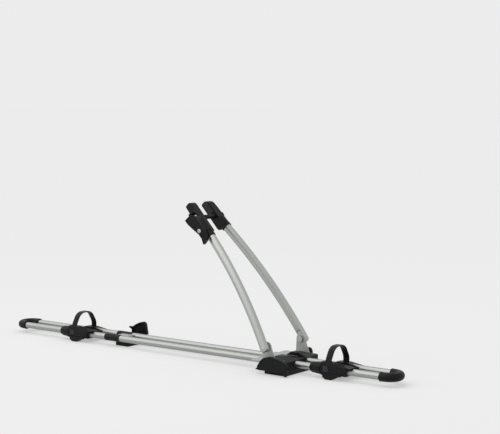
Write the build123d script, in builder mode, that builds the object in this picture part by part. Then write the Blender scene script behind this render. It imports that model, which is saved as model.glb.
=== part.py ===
from build123d import *

import os
from math import cos, radians, sin

# A roof mounted bike carrier, in millimetres.
# X runs to the front of the car, Y to the far side and Z up from under the feet.
# The near side is -Y. Heights called level are counted from the rails' axis.

NEAR, FAR = -1, 1
REAR, FRONT = -1, 1

overrun = 1.0
clearance = 0.3
running_fit = 0.1

# Rails: two round tubes side by side, each in two lengths with a joiner between
carrier_length = 1490.0
rail_height = 27.0
rail_spacing = 58.0
rail_diameter = 20.0
rail_wall = 1.5
coupler_length = 63.0
coupler_diameter = 23.0
coupler_chamfer = 1.2
spigot_length = 60.0
loop_diameter = 26.0
socket_depth = 11.0

rail_y = rail_spacing / 2
rail_radius = rail_diameter / 2
rail_bore = rail_radius - rail_wall
rail_end = carrier_length / 2 - rail_y - loop_diameter / 2

# Places along the rails, as shares of the whole length from its middle
coupler_share = -0.2025
front_holder_share = 0.31
rear_holder_share = -0.3525
foot_share = 0.225
rear_foot_share = -0.2067

coupler_x = carrier_length * coupler_share
front_holder_x = carrier_length * front_holder_share
rear_holder_x = carrier_length * rear_holder_share
foot_x = carrier_length * foot_share
rear_foot_x = carrier_length * rear_foot_share
coupler_start = coupler_x - coupler_length / 2
coupler_stop = coupler_x + coupler_length / 2

# Wheel holders: lengths run along the rail from the holder's rear end
wheel_radius = 333.5
wheel_place = 63.6
tyre_width = 40.0
tyre_crown = 18.0
channel_level = -10.0
sleeve_radius = rail_radius + running_fit

collar_length = 39.0
collar_small = 27.5
collar_large = 36.0
collar_chamfer = 1.6
neck_diameter = 27.0

housing_start = 44.0
housing_length = 80.0
tongue_length = 18.0
housing_drop = 13.5
housing_top = 25.0
housing_reach = 21.0
crest_start = 60.0
crest_length = 14.0
tongue_level = 11.0
tongue_rise = 3.6
lip_drop = 8.0
rebate_width = 8.5
floor_half = 15.0
far_start = 44.0
far_stop = 128.0
far_top = 12.5
far_tip_level = 6.0
far_tip_drop = 4.0
far_reach = 18.5
chin_length = 12.0
cradle_round = 2.0

strap_place = 58.5
strap_width = 20.0
strap_thickness = 3.0
strap_top = 64.0
strap_half_top = 24.0
strap_foot = 45.0
strap_shoulder = 28.0
strap_near_end = 14.0
strap_far_end = -2.0
strap_top_bend = 14.0
strap_foot_bend = 8.0

buckle_axis_y = -46.0
buckle_axis_level = -12.0
buckle_pin_diameter = 3.0
barrel_diameter = 7.2
buckle_lever_start = 50.0
buckle_lever_length = 54.0
buckle_lever_drop = 14.5
buckle_lever_depth = 15.6
buckle_chin = 10.0
buckle_foot = 20.0
buckle_cheek = 6.0
lug_thickness = 5.0

button_place = 52.0
button_length = 17.0
button_height = 16.0
button_level = 3.0
button_depth = 4.5
button_travel = 3.0
button_proud = 0.5
button_round = 1.5
spring_diameter = 5.0
spring_wire = 0.8
spring_space = 4.0

# Front foot: pad, base and saddle hold the rails, the yoke carries the arms
foot_length = 75.0
foot_margin = 4.0
pad_thickness = 3.0
slab_level = -12.0
saddle_inset = 2.0
saddle_length = 71.0
saddle_top = 22.0
saddle_half_top = 46.0
saddle_half_width = 80.0
saddle_channel = 44.0
saddle_channel_level = 11.5
saddle_rim_level = 13.0
saddle_nose_level = 11.5
saddle_ramp = 15.0
saddle_nose = 30.0
saddle_gap_level = -0.2
screw_seat_level = 12.0
foot_round = 2.0

foot_half_width = saddle_half_width + foot_margin
saddle_start = foot_x + saddle_inset
saddle_stop = saddle_start + saddle_length

yoke_reach = 47.0
yoke_length = 88.0
plate_thickness = 3.5
plate_level = 6.0
pivot_inset = 9.75
pivot_level = 51.5
ear_gap = 1.0
ear_thickness = 4.0
ear_radius = 14.5
ear_back_reach = 17.0

yoke_start = foot_x - yoke_reach
yoke_stop = yoke_start + yoke_length
pivot_x = foot_x + pivot_inset
ear_inside = saddle_half_width + ear_gap
ear_back = pivot_x - ear_back_reach

# Foot covers and levers on standing pins
cover_reach = 20.0
cover_length = 113.0
cover_bottom = -15.0
cover_height = 40.9
cover_gap = 12.5
cover_thickness = 8.5
cover_wall = 2.2
cover_round = 1.2
cover_hinge_inset = 9.0
hinge_pin_diameter = 4.0
hinge_barrel = 9.0
knuckle_height = 8.7
front_lever_reach = 32.0
front_lever_bottom = -14.5
rear_lever_reach = 27.0
rear_lever_bottom = -2.0
rear_lever_gap = 1.5
foot_lever_length = 74.0
foot_lever_height = 39.0

cover_inside = saddle_half_width + cover_gap
cover_tip_x = foot_x - cover_reach
cover_stop_x = cover_tip_x + cover_length
front_lever_tip_x = foot_x - front_lever_reach
rear_lever_tip_x = rear_foot_x - rear_lever_reach

# Rear foot: a cast base under the far rail, with a clip that holds the rail down
rear_foot_length = 53.0
rear_foot_near = -13.0
rear_foot_far = 79.0
rear_clip_near = -9.0
rear_clip_inset = 3.0
rear_clip_height = 8.5

rear_lever_inside = rear_foot_far + rear_lever_gap
rear_base_level = rear_lever_bottom - clearance

# Screws and roof bar bolts
screw_diameter = 5.0
screw_head = 9.0
screw_head_height = 3.0
screw_length = 20.0
socket_across = 4.0
t_head = 20.0
t_head_height = 3.5
t_stud = 8.0
t_well = 1.0
t_spacing = 96.0

# Arms: curved oval tubes from the ears to the frame clamp
arm_width = 27.0
arm_depth = 22.0
arm_wall = 2.0
arm_top_x = 71.0
arm_top_y = 44.0
arm_top_level = 392.5
arm_bow = 16.5
arm_tuck = 2.0
arm_hollow_share = 0.9
arm_socket_share = 0.43
eye_flat_radius = 24.0
eye_gap = 0.5
eye_margin = 0.5
eye_flat_depth = 0.8
bolt_diameter = 10.0
bolt_head = 17.0
bolt_head_height = 5.0
bolt_play = 0.9
bolt_depth = 14.0
washer_thickness = 2.0
washer_diameter = 24.0

eye_face_y = ear_inside + ear_thickness + clearance + washer_thickness + eye_gap
pivot_y = eye_face_y + arm_depth / 2 - eye_flat_depth

# Frame clamp: along is up the arm from the spindle, across is square to it
spindle_x = 63.4
spindle_level = 401.9
head_angle = 47.8
jaw_gap = 52.0
pad_height = 3.0
jaw_top = 57.0
jaw_inner = jaw_gap / 2 + pad_height
jaw_outer = 52.0
jaw_heel = 60.0
near_jaw_foot = -58.0
far_jaw_foot = -47.0
near_jaw_back = 14.5
far_jaw_back = 18.0
far_jaw_round = 15.0
far_jaw_sagitta = 3.8
jaw_front = 11.0
jaw_round = 3.0
cam_block_top = 22.0
cam_block_foot = -50.0
cam_block_outer = 66.0
grip_pad_start = 12.0
grip_pad_length = 40.0
grip_pad_width = 18.0
grip_groove = 1.2
grip_groove_count = 5
arm_collar_distance = 52.0
arm_collar_length = 12.0
arm_collar_wall = 1.8
near_boss_length = 46.0
far_boss_length = 35.0
boss_wall = 2.5
nut_boss_diameter = 21.0
far_screw_seat = 57.5

rod_diameter = 8.0
rod_reach = 22.0
sleeve_outer = 14.0
sleeve_inner = 12.2
sleeve_start = -20.0
sleeve_pocket = 18.0
pocket_depth = 24.5
cap_nut_across = 17.0
cap_nut_height = 6.0
cap_nut_dome = 7.0
cap_nut_crown = 2.0
cap_nut_chamfer = 1.0
cap_nut_round = 1.5

lever_pin_y = -69.0
lever_pin_along = 1.0
lever_pin_diameter = 6.0
rod_eye_diameter = 12.0
lobe_radius = 14.0
lever_face = 77.0
lever_back = 66.5
lever_slot = 9.2
lever_length = 103.0
lever_width = 38.0
lever_top = 19.0
lever_front = 13.5
lock_along = -44.0
lock_across = -3.0
lock_diameter = 12.0
lock_depth = 9.0
lock_proud = 0.6
key_slot_length = 6.0
key_slot_width = 1.2
key_slot_depth = 1.5
jaw_screw_diameter = 6.0
jaw_screw_head = 9.0
jaw_screw_height = 3.0
jaw_screw_length = 14.0
jaw_screw_spots = ((-20.0, 3.0), (-32.0, 3.0))

# Outlines as shares of a length and a height, from the lower rear corner
cover_edge_shares = ((0.0, 0.05), (0.07, 0.22), (0.15, 0.58), (0.26, 0.88), (0.465, 1.0),
                     (0.7, 0.93), (0.91, 0.72), (1.0, 0.42), (0.975, 0.0), (0.12, 0.0))
foot_lever_shares = ((0.0, 0.52), (0.19, 0.47), (0.4, 0.72), (0.6, 0.89), (0.82, 1.0),
                     (0.92, 0.87), (1.0, 0.0), (0.15, 0.0), (0.15, 0.3), (0.0, 0.42))
lever_outline_shares = ((0.029, 0.0), (0.0, 0.333), (0.039, 0.595), (0.126, 0.857),
                        (0.252, 1.0), (0.631, 1.0), (0.864, 0.881), (0.981, 0.643),
                        (1.0, 0.19), (0.835, 0.357), (0.68, 0.357), (0.505, 0.214),
                        (0.223, 0.024))

os.makedirs("parts", exist_ok=True)


def end_plane(x):
    """Plane across the rails at x, drawn as (y, level)."""
    return Plane(origin=(x, 0, rail_height), x_dir=(0, 1, 0), z_dir=(1, 0, 0))


def side_plane(y):
    """Plane along the rails at y, drawn as (x, level), looking from the near side."""
    return Plane(origin=(0, y, rail_height), x_dir=(1, 0, 0), z_dir=(0, -1, 0))


def level_plane(level):
    """Flat plane at a level, drawn as (x, y)."""
    return Plane(origin=(0, 0, rail_height + level))


along = Vector(-cos(radians(head_angle)), 0, sin(radians(head_angle)))
across = Vector(sin(radians(head_angle)), 0, cos(radians(head_angle)))
spindle = Vector(spindle_x, 0, rail_height + spindle_level)


def head_plane(y):
    """Plane of the clamp at y, drawn as (along, across), facing the far side."""
    return Plane(origin=spindle + Vector(0, y, 0), x_dir=along, z_dir=(0, 1, 0))


def head_side(across_place=0.0):
    """Plane of the clamp square to across, drawn as (along, y)."""
    return Plane(origin=spindle + across * across_place, x_dir=along, z_dir=-across)


def save(piece, name):
    """Label a finished piece and write it."""
    piece.part.label = name
    export_step(piece.part, f"parts/{name}.step")


def rail(name, side, start, stop):
    """One length of rail tube."""
    with BuildPart() as tube:
        with BuildSketch(end_plane(start)):
            with Locations((side * rail_y, 0)):
                Circle(rail_radius)
                Circle(rail_bore, mode=Mode.SUBTRACT)
        extrude(amount=stop - start)
    save(tube, name)


def coupler(name, side):
    """Moulded joiner with a spigot into each length of rail."""
    with BuildPart() as joiner:
        with BuildSketch(end_plane(coupler_start)):
            with Locations((side * rail_y, 0)):
                Circle(coupler_diameter / 2)
        extrude(amount=coupler_length)
        chamfer(joiner.edges().filter_by(GeomType.CIRCLE), coupler_chamfer)
        with BuildSketch(end_plane(coupler_start - spigot_length)):
            with Locations((side * rail_y, 0)):
                Circle(rail_bore - running_fit)
        extrude(amount=coupler_length + 2 * spigot_length)
    save(joiner, name)


def end_loop(name, end):
    """U-shaped loop that joins both rails and caps their ends."""
    mouth = rail_end - socket_depth
    with BuildPart() as loop:
        with BuildLine(level_plane(0)) as bend:
            near_leg = Line((end * mouth, -rail_y), (end * rail_end, -rail_y))
            turn = ThreePointArc(near_leg @ 1, (end * (rail_end + rail_y), 0), (end * rail_end, rail_y))
            Line(turn @ 1, (end * mouth, rail_y))
        with BuildSketch(end_plane(end * mouth)):
            with Locations((-rail_y, 0)):
                Circle(loop_diameter / 2)
        sweep(path=bend.line)
        with BuildSketch(end_plane(end * mouth)):
            with Locations((-rail_y, 0), (rail_y, 0)):
                Circle(rail_radius + running_fit)
        extrude(amount=end * socket_depth, mode=Mode.SUBTRACT)
    save(loop, name)


def cradle(name, start):
    """Wheel holder body: a buckle housing on the near rail, a tyre channel and a far sleeve."""
    stop = start + housing_start + housing_length
    near_face = -rail_y - housing_reach
    rebate = near_face + rebate_width
    crest = start + crest_start
    crown_arc = tyre_width / 2
    with BuildPart() as body:
        # The near housing is the overlap of its side outline and its end outline
        with BuildSketch(side_plane(near_face)):
            with BuildLine():
                lower = Polyline(
                    (stop, saddle_gap_level),
                    (stop, -housing_drop),
                    (start + housing_start, -housing_drop),
                    (start + housing_start, far_top),
                    (crest - crest_length, housing_top - collar_chamfer),
                    (crest, housing_top),
                    (crest + crest_length, housing_top),
                    (stop + tongue_length, tongue_level + collar_chamfer),
                    (stop + tongue_length, tongue_level),
                )
                mid = (stop + tongue_rise, tongue_level - tongue_rise)
                ThreePointArc(lower @ 1, mid, lower @ 0)
            make_face()
        extrude(amount=-(housing_reach + rail_y - floor_half))
        with BuildSketch(end_plane(start)):
            Polygon(
                (near_face, -lip_drop),
                (near_face, far_top),
                (near_face + strap_thickness, housing_top),
                (-rail_y - rail_radius + strap_thickness, housing_top),
                (-rail_y + rail_radius, far_top),
                (-floor_half, 0),
                (-floor_half, -housing_drop),
                (rebate, -housing_drop),
                (rebate, -lip_drop),
                align=None,
            )
        extrude(amount=housing_start + housing_length + tongue_length + overrun, mode=Mode.INTERSECT)
        # Far sleeve, lower and slimmer, and the floor between the rails
        with BuildSketch(side_plane(floor_half)):
            Polygon(
                (start + far_start, -housing_drop),
                (start + far_start, far_top - foot_round),
                (start + far_start + chin_length, far_top),
                (start + far_start + housing_length / 2, far_top),
                (start + far_stop, far_tip_level),
                (start + far_stop, -far_tip_drop),
                (start + far_stop - chin_length, -housing_drop),
                align=None,
            )
        extrude(amount=-(far_reach + rail_y - floor_half))
        with BuildSketch(end_plane(start + far_start)):
            with Locations((0, channel_level - housing_drop / 2)):
                Rectangle(2 * floor_half, housing_drop)
        floor_length = far_stop - far_start - chin_length
        extrude(amount=floor_length)
        with BuildSketch(level_plane(-housing_drop)):
            with Locations((start + far_start + floor_length / 2, 0)):
                Rectangle(2 * housing_length, 2 * rail_spacing)
        extrude(amount=-housing_drop, mode=Mode.SUBTRACT)
        # Neck beside the collar
        with BuildSketch(end_plane(start + collar_length + clearance)):
            with Locations((-rail_y, 0)):
                Circle(neck_diameter / 2)
        extrude(amount=housing_start - collar_length + overrun)
        # The channel is the tyre's own ring
        with BuildSketch(end_plane(start + wheel_place)):
            with BuildLine():
                crown = ThreePointArc(
                    (-crown_arc, channel_level + tyre_crown),
                    (0, channel_level),
                    (crown_arc, channel_level + tyre_crown),
                )
                Polyline(crown @ 1, (crown_arc, strap_top), (-crown_arc, strap_top), crown @ 0)
            make_face()
        hub = (start + wheel_place, 0, rail_height + channel_level + wheel_radius)
        revolve(axis=Axis(hub, (0, 1, 0)), mode=Mode.SUBTRACT)
        # Rail bores
        with BuildSketch(end_plane(start)):
            with Locations((-rail_y, 0), (rail_y, 0)):
                Circle(sleeve_radius)
        extrude(amount=far_stop + tongue_length, mode=Mode.SUBTRACT)
        # Strap slots: a blind one in the housing, one down the far wall
        with BuildSketch(end_plane(start + strap_place - clearance)):
            with Locations((-strap_foot, strap_near_end - clearance)):
                Rectangle(strap_thickness + 2 * clearance, housing_top, align=(Align.CENTER, Align.MIN))
            with Locations((strap_foot, strap_far_end - clearance)):
                Rectangle(strap_thickness + 2 * clearance, housing_top, align=(Align.CENTER, Align.MIN))
        extrude(amount=strap_width + 2 * clearance, mode=Mode.SUBTRACT)
        # Lugs that hold the buckle pin, one each side of the lever
        lever_stop = buckle_lever_start + buckle_lever_length
        for place in (buckle_lever_start - clearance - lug_thickness, lever_stop + clearance):
            with BuildSketch(end_plane(start + place)):
                with Locations((buckle_axis_y, buckle_axis_level)):
                    Circle(barrel_diameter / 2)
                    Rectangle(barrel_diameter, -buckle_axis_level, align=(Align.CENTER, Align.MIN))
            extrude(amount=lug_thickness)
        with BuildSketch(end_plane(start + buckle_lever_start - lug_thickness)):
            with Locations((buckle_axis_y, buckle_axis_level)):
                Circle(buckle_pin_diameter / 2 + running_fit)
        extrude(amount=buckle_lever_length + 2 * lug_thickness, mode=Mode.SUBTRACT)
        # Button well in the near face
        with BuildSketch(side_plane(near_face - overrun)):
            with Locations((start + button_place + button_length / 2, button_level)):
                Rectangle(button_length + 2 * clearance, button_height + 2 * clearance)
        extrude(amount=-(overrun + button_depth + spring_space), mode=Mode.SUBTRACT)
    save(body, name)


def twist_collar(name, start):
    """Tapered collar that turns on the near rail and locks the holder."""
    with BuildPart() as collar:
        with BuildSketch(side_plane(-rail_y)):
            Polygon(
                (start, sleeve_radius),
                (start, collar_small / 2 - collar_chamfer),
                (start + collar_chamfer, collar_small / 2),
                (start + collar_length - collar_chamfer, collar_large / 2),
                (start + collar_length, collar_large / 2 - collar_chamfer),
                (start + collar_length, sleeve_radius),
                align=None,
            )
        revolve(axis=Axis((0, -rail_y, rail_height), (1, 0, 0)))
    save(collar, name)


def strap(name, start):
    """Wheel strap: a band arched over the rim, with ladder teeth on its near leg."""
    place = end_plane(start + strap_place + strap_width / 2)
    with BuildPart() as band:
        with BuildLine(place) as arch:
            FilletPolyline(
                (-strap_foot, strap_near_end),
                (-strap_foot, strap_shoulder),
                (-strap_half_top, strap_top),
                (strap_half_top, strap_top),
                (strap_foot, strap_shoulder),
                (strap_foot, strap_far_end),
                radius=[strap_foot_bend, strap_top_bend, strap_top_bend, strap_foot_bend],
            )
        with BuildSketch(level_plane(strap_near_end)):
            with Locations((start + strap_place + strap_width / 2, -strap_foot)):
                Rectangle(strap_width, strap_thickness)
        sweep(path=arch.line)
    save(band, name)


def buckle_lever(name, start):
    """Lever that hangs under the housing and turns out on its pin."""
    near_face = buckle_axis_y - barrel_diameter / 2
    lever_top_level = -housing_drop - clearance
    foot_level = buckle_axis_level - buckle_lever_drop
    lever_start = start + buckle_lever_start
    lever_stop = lever_start + buckle_lever_length
    with BuildPart() as lever:
        with BuildSketch(side_plane(near_face)):
            Polygon(
                (lever_start, lever_top_level),
                (lever_start, lever_top_level - buckle_cheek),
                (lever_start + buckle_chin, foot_level),
                (lever_start + buckle_chin + buckle_foot, foot_level),
                (lever_stop, lever_top_level),
                align=None,
            )
        extrude(amount=-buckle_lever_depth)
        fillet(lever.edges().filter_by(Axis.Y).group_by(Axis.Z)[0], cradle_round)
        with BuildSketch(end_plane(lever_start)):
            with Locations((buckle_axis_y, buckle_axis_level)):
                Circle(barrel_diameter / 2)
        extrude(amount=buckle_lever_length)
        with BuildSketch(end_plane(lever_start - overrun)):
            with Locations((buckle_axis_y, buckle_axis_level)):
                Circle(buckle_pin_diameter / 2 + running_fit)
        extrude(amount=buckle_lever_length + 2 * overrun, mode=Mode.SUBTRACT)
    save(lever, name)


def buckle_pin(name, start):
    """Pin through both lugs and the lever."""
    reach = lug_thickness - clearance
    with BuildPart() as pin:
        with BuildSketch(end_plane(start + buckle_lever_start - reach)):
            with Locations((buckle_axis_y, buckle_axis_level)):
                Circle(buckle_pin_diameter / 2)
        extrude(amount=buckle_lever_length + 2 * reach)
    save(pin, name)


def release_button(name, start):
    """Push button in the housing's near face, bored behind for its spring."""
    face = -rail_y - housing_reach - button_proud
    with BuildPart() as button:
        with BuildSketch(side_plane(face)):
            with Locations((start + button_place + button_length / 2, button_level)):
                RectangleRounded(button_length, button_height, button_round)
        extrude(amount=-button_depth)
        fillet(button.faces().sort_by(Axis.Y)[0].edges(), button_proud)
        with BuildSketch(side_plane(face + button_depth)):
            with Locations((start + button_place + button_length / 2, button_level)):
                Circle(spring_diameter / 2 + clearance)
        extrude(amount=button_travel + clearance, mode=Mode.SUBTRACT)
    save(button, name)


def button_spring(name, start):
    """Return spring between the well's floor and the button."""
    floor = -rail_y - housing_reach - button_proud + button_depth + spring_space
    with BuildPart() as spring:
        with BuildSketch(side_plane(floor)):
            with Locations((start + button_place + button_length / 2, button_level)):
                Circle(spring_diameter / 2)
                Circle(spring_diameter / 2 - spring_wire, mode=Mode.SUBTRACT)
        extrude(amount=spring_space - clearance)
    save(spring, name)


def pressed_strap(inner_radius, thickness, level, half_width):
    """Outline of a plate pressed over both rails, for the sketch that is open."""
    outer_radius = inner_radius + thickness
    with Locations((0, level)):
        Rectangle(2 * half_width, thickness, align=(Align.CENTER, Align.MIN))
    with Locations((-rail_y, 0), (rail_y, 0)):
        Circle(outer_radius)
    with Locations((-rail_y, 0), (rail_y, 0)):
        Circle(inner_radius, mode=Mode.SUBTRACT)
    with Locations((0, level)):
        Rectangle(2 * half_width, 2 * outer_radius, align=(Align.CENTER, Align.MAX), mode=Mode.SUBTRACT)


# Rails and end loops
rail("rail_rear_near", NEAR, -rail_end, coupler_start)
rail("rail_rear_far", FAR, -rail_end, coupler_start)
rail("rail_front_near", NEAR, coupler_stop, rail_end)
rail("rail_front_far", FAR, coupler_stop, rail_end)
coupler("coupler_near", NEAR)
coupler("coupler_far", FAR)
end_loop("end_loop_rear", REAR)
end_loop("end_loop_front", FRONT)

# Wheel holders
for prefix, holder_x in (("front", front_holder_x), ("rear", rear_holder_x)):
    cradle(f"{prefix}_cradle", holder_x)
    twist_collar(f"{prefix}_twist_collar", holder_x)
    strap(f"{prefix}_strap", holder_x)
    buckle_lever(f"{prefix}_buckle_lever", holder_x)
    buckle_pin(f"{prefix}_buckle_pin", holder_x)
    release_button(f"{prefix}_release_button", holder_x)
    button_spring(f"{prefix}_button_spring", holder_x)

# Front foot
foot_stop = foot_x + foot_length
pad_level = -rail_height + pad_thickness
screw_xs = (saddle_start + saddle_ramp, saddle_stop - saddle_ramp)
screw_spots = [(x, side * (saddle_half_width - screw_head)) for x in screw_xs for side in (NEAR, FAR)]
yoke_top = plate_level + plate_thickness
groove_radius = rail_radius + running_fit
t_place_x = foot_x + foot_length / 2
rear_t_place_x = rear_foot_x + rear_foot_length / 2

with BuildPart() as front_foot_pad:
    with BuildSketch(level_plane(-rail_height)):
        with Locations((t_place_x, 0)):
            RectangleRounded(foot_length, 2 * foot_half_width, foot_round)
        with Locations((t_place_x, -t_spacing / 2), (t_place_x, t_spacing / 2)):
            Rectangle(t_head + 2 * t_well, t_head + 2 * t_well, mode=Mode.SUBTRACT)
    extrude(amount=pad_thickness)
save(front_foot_pad, "front_foot_pad")

with BuildPart() as front_foot_base:
    with BuildSketch(level_plane(pad_level)):
        with Locations((t_place_x, 0)):
            RectangleRounded(foot_length, 2 * foot_half_width, foot_round)
    extrude(amount=slab_level - pad_level)
    # Upright part between slab and saddle, stepped down where the yoke plate ends
    with BuildSketch(level_plane(slab_level)):
        with Locations((saddle_start, 0)):
            Rectangle(yoke_stop - saddle_start, 2 * saddle_half_width, align=(Align.MIN, Align.CENTER))
    extrude(amount=plate_level - slab_level)
    with BuildSketch(level_plane(slab_level)):
        with Locations((yoke_stop, 0)):
            Rectangle(saddle_stop - yoke_stop, 2 * saddle_half_width, align=(Align.MIN, Align.CENTER))
    extrude(amount=-slab_level)
    # Rail grooves, open above the axis
    with BuildSketch(end_plane(foot_x - overrun)):
        with Locations((-rail_y, 0), (rail_y, 0)):
            Circle(groove_radius)
            Rectangle(2 * groove_radius, 2 * groove_radius, align=(Align.CENTER, Align.MIN))
    extrude(amount=foot_length + 2 * overrun, mode=Mode.SUBTRACT)
    # Knuckles for the cover and the far lever
    knuckle_x = cover_stop_x - cover_hinge_inset
    knuckle_y = cover_inside + hinge_barrel / 2
    lever_x = front_lever_tip_x + foot_lever_length - hinge_barrel / 2
    with BuildSketch(level_plane(pad_level)):
        with Locations((knuckle_x, -knuckle_y), (foot_stop - hinge_barrel, hinge_barrel - foot_half_width)):
            Circle(hinge_barrel / 2)
        make_hull()
    extrude(amount=knuckle_height)
    with BuildSketch(level_plane(pad_level)):
        with Locations((lever_x, knuckle_y)):
            Circle(hinge_barrel / 2)
            Rectangle(hinge_barrel, hinge_barrel + cover_thickness, align=(Align.CENTER, Align.MAX))
    extrude(amount=knuckle_height)
    with BuildSketch(level_plane(pad_level)):
        with Locations((knuckle_x, -knuckle_y), (lever_x, knuckle_y)):
            Circle(hinge_pin_diameter / 2)
    extrude(amount=knuckle_height + overrun, mode=Mode.SUBTRACT)
    # Wells and holes for the roof bar bolts and the saddle screws
    with BuildSketch(level_plane(pad_level - overrun)):
        with Locations((t_place_x, -t_spacing / 2), (t_place_x, t_spacing / 2)):
            Rectangle(t_head + 2 * t_well, t_head + 2 * t_well)
    extrude(amount=t_head_height + overrun, mode=Mode.SUBTRACT)
    with BuildSketch(level_plane(pad_level)):
        with Locations((t_place_x, -t_spacing / 2), (t_place_x, t_spacing / 2)):
            Circle(t_stud / 2 + running_fit)
    extrude(amount=rail_height, mode=Mode.SUBTRACT)
    with BuildSketch(level_plane(plate_level - screw_length)):
        with Locations(*screw_spots):
            Circle(screw_diameter / 2)
    extrude(amount=screw_length + overrun, mode=Mode.SUBTRACT)
save(front_foot_base, "front_foot_base")

with BuildPart() as front_foot_saddle:
    with BuildSketch(side_plane(-saddle_half_width)):
        Polygon(
            (saddle_start, yoke_top),
            (saddle_start, saddle_rim_level),
            (saddle_start + saddle_ramp, saddle_top),
            (saddle_stop - saddle_nose, saddle_top),
            (saddle_stop, saddle_nose_level),
            (saddle_stop, 0),
            (yoke_stop + clearance, 0),
            (yoke_stop + clearance, yoke_top),
            align=None,
        )
    extrude(amount=-2 * saddle_half_width)
    with BuildSketch(end_plane(saddle_start)):
        Polygon(
            (-saddle_half_width, 0),
            (-saddle_half_width, saddle_rim_level),
            (-saddle_half_top, saddle_top),
            (saddle_half_top, saddle_top),
            (saddle_half_width, saddle_rim_level),
            (saddle_half_width, 0),
            align=None,
        )
    extrude(amount=saddle_stop - saddle_start, mode=Mode.INTERSECT)
    fillet(front_foot_saddle.edges().filter_by(Axis.X).group_by(Axis.Z)[-1], foot_round)
    # The front tyre passes over the middle
    with BuildSketch(end_plane(front_holder_x + wheel_place)):
        with BuildLine():
            foot_crown = ThreePointArc(
                (-tyre_width / 2, channel_level + tyre_crown),
                (0, channel_level),
                (tyre_width / 2, channel_level + tyre_crown),
            )
            Polyline(foot_crown @ 1, (tyre_width / 2, strap_top), (-tyre_width / 2, strap_top), foot_crown @ 0)
        make_face()
    front_hub = (front_holder_x + wheel_place, 0, rail_height + channel_level + wheel_radius)
    revolve(axis=Axis(front_hub, (0, 1, 0)), mode=Mode.SUBTRACT)
    with BuildSketch(end_plane(saddle_start - overrun)):
        with Locations((0, saddle_channel_level)):
            Rectangle(saddle_channel, saddle_top, align=(Align.CENTER, Align.MIN))
    extrude(amount=saddle_length + 2 * overrun, mode=Mode.SUBTRACT)
    # Grooves: wide over the pressed yoke, close to the rails in front of it
    with BuildSketch(end_plane(saddle_start - overrun)):
        with Locations((-rail_y, 0), (rail_y, 0)):
            Circle(groove_radius + plate_thickness + clearance)
    extrude(amount=yoke_stop - saddle_start + overrun + clearance, mode=Mode.SUBTRACT)
    with BuildSketch(end_plane(saddle_start)):
        with Locations((-rail_y, 0), (rail_y, 0)):
            Circle(groove_radius)
    extrude(amount=saddle_stop - saddle_start + overrun, mode=Mode.SUBTRACT)
    with BuildSketch(level_plane(0)):
        with Locations(*screw_spots):
            Circle(screw_diameter / 2)
    extrude(amount=saddle_top, mode=Mode.SUBTRACT)
    with BuildSketch(level_plane(screw_seat_level)):
        with Locations(*screw_spots):
            Circle(screw_head / 2 + clearance)
    extrude(amount=saddle_top, mode=Mode.SUBTRACT)
save(front_foot_saddle, "front_foot_saddle")

with BuildPart() as front_foot_screws:
    with BuildSketch(level_plane(plate_level - screw_length + overrun)):
        with Locations(*screw_spots):
            Circle(screw_diameter / 2 - running_fit)
    extrude(amount=screw_seat_level - plate_level + screw_length - overrun)
    with BuildSketch(level_plane(screw_seat_level)):
        with Locations(*screw_spots):
            Circle(screw_head / 2)
            RegularPolygon(socket_across / 2, 6, mode=Mode.SUBTRACT)
    extrude(amount=screw_head_height)
save(front_foot_screws, "front_foot_screws")

# Yoke: a pressed plate over both rails with an ear at each side
with BuildPart() as arm_yoke:
    with BuildSketch(end_plane(yoke_start)):
        pressed_strap(groove_radius, plate_thickness, plate_level, ear_inside + ear_thickness)
    extrude(amount=yoke_stop - yoke_start)
    for side in (NEAR, FAR):
        with BuildSketch(side_plane(side * ear_inside)):
            with BuildLine():
                foot_line = Polyline(
                    (ear_back, plate_level),
                    (yoke_stop, plate_level),
                    (yoke_stop, yoke_top),
                    (pivot_x + ear_radius, pivot_level),
                )
                crest_arc = ThreePointArc(
                    foot_line @ 1,
                    (pivot_x, pivot_level + ear_radius),
                    (pivot_x - ear_radius, pivot_level),
                )
                Line(crest_arc @ 1, (ear_back, yoke_top))
                Line((ear_back, yoke_top), foot_line @ 0)
            make_face()
        extrude(amount=-side * ear_thickness)
    with BuildSketch(side_plane(-ear_inside - ear_thickness - overrun)):
        with Locations((pivot_x, pivot_level)):
            Circle(bolt_diameter / 2 + running_fit)
    extrude(amount=-2 * (ear_inside + ear_thickness + overrun), mode=Mode.SUBTRACT)
    with BuildSketch(level_plane(plate_level - overrun)):
        with Locations(*screw_spots):
            Circle(screw_diameter / 2)
    extrude(amount=plate_thickness + 2 * overrun, mode=Mode.SUBTRACT)
save(arm_yoke, "arm_yoke")


def shell_lever(name, edge_shares, tip_x, bottom, length, height, side, inside, hinge_x):
    """Moulded cover or lever: a shallow shell, open behind, with a barrel for its pin."""
    points = [(tip_x + px * length, bottom + pz * height) for px, pz in edge_shares]
    outside = inside + cover_thickness
    hinge_y = side * (inside + hinge_barrel / 2)
    with BuildPart() as shell:
        with BuildSketch(side_plane(side * inside)):
            Polygon(*points, align=None)
        extrude(amount=-side * cover_thickness)
        outer_face = shell.faces().sort_by(Axis.Y)[0 if side == NEAR else -1]
        fillet(outer_face.edges(), cover_round)
        with BuildSketch(side_plane(side * inside)):
            Polygon(*points, align=None)
            offset(amount=-cover_wall, kind=Kind.INTERSECTION, mode=Mode.REPLACE)
        extrude(amount=-side * (cover_thickness - cover_wall), mode=Mode.SUBTRACT)
        with BuildSketch(level_plane(bottom)):
            with Locations((hinge_x, hinge_y)):
                Circle(hinge_barrel / 2 - clearance)
        extrude(amount=2 * knuckle_height)
        with BuildSketch(level_plane(bottom - overrun)):
            with Locations((hinge_x, hinge_y)):
                Circle(hinge_pin_diameter / 2 + running_fit)
        extrude(amount=2 * (knuckle_height + overrun), mode=Mode.SUBTRACT)
    save(shell, name)


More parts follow.
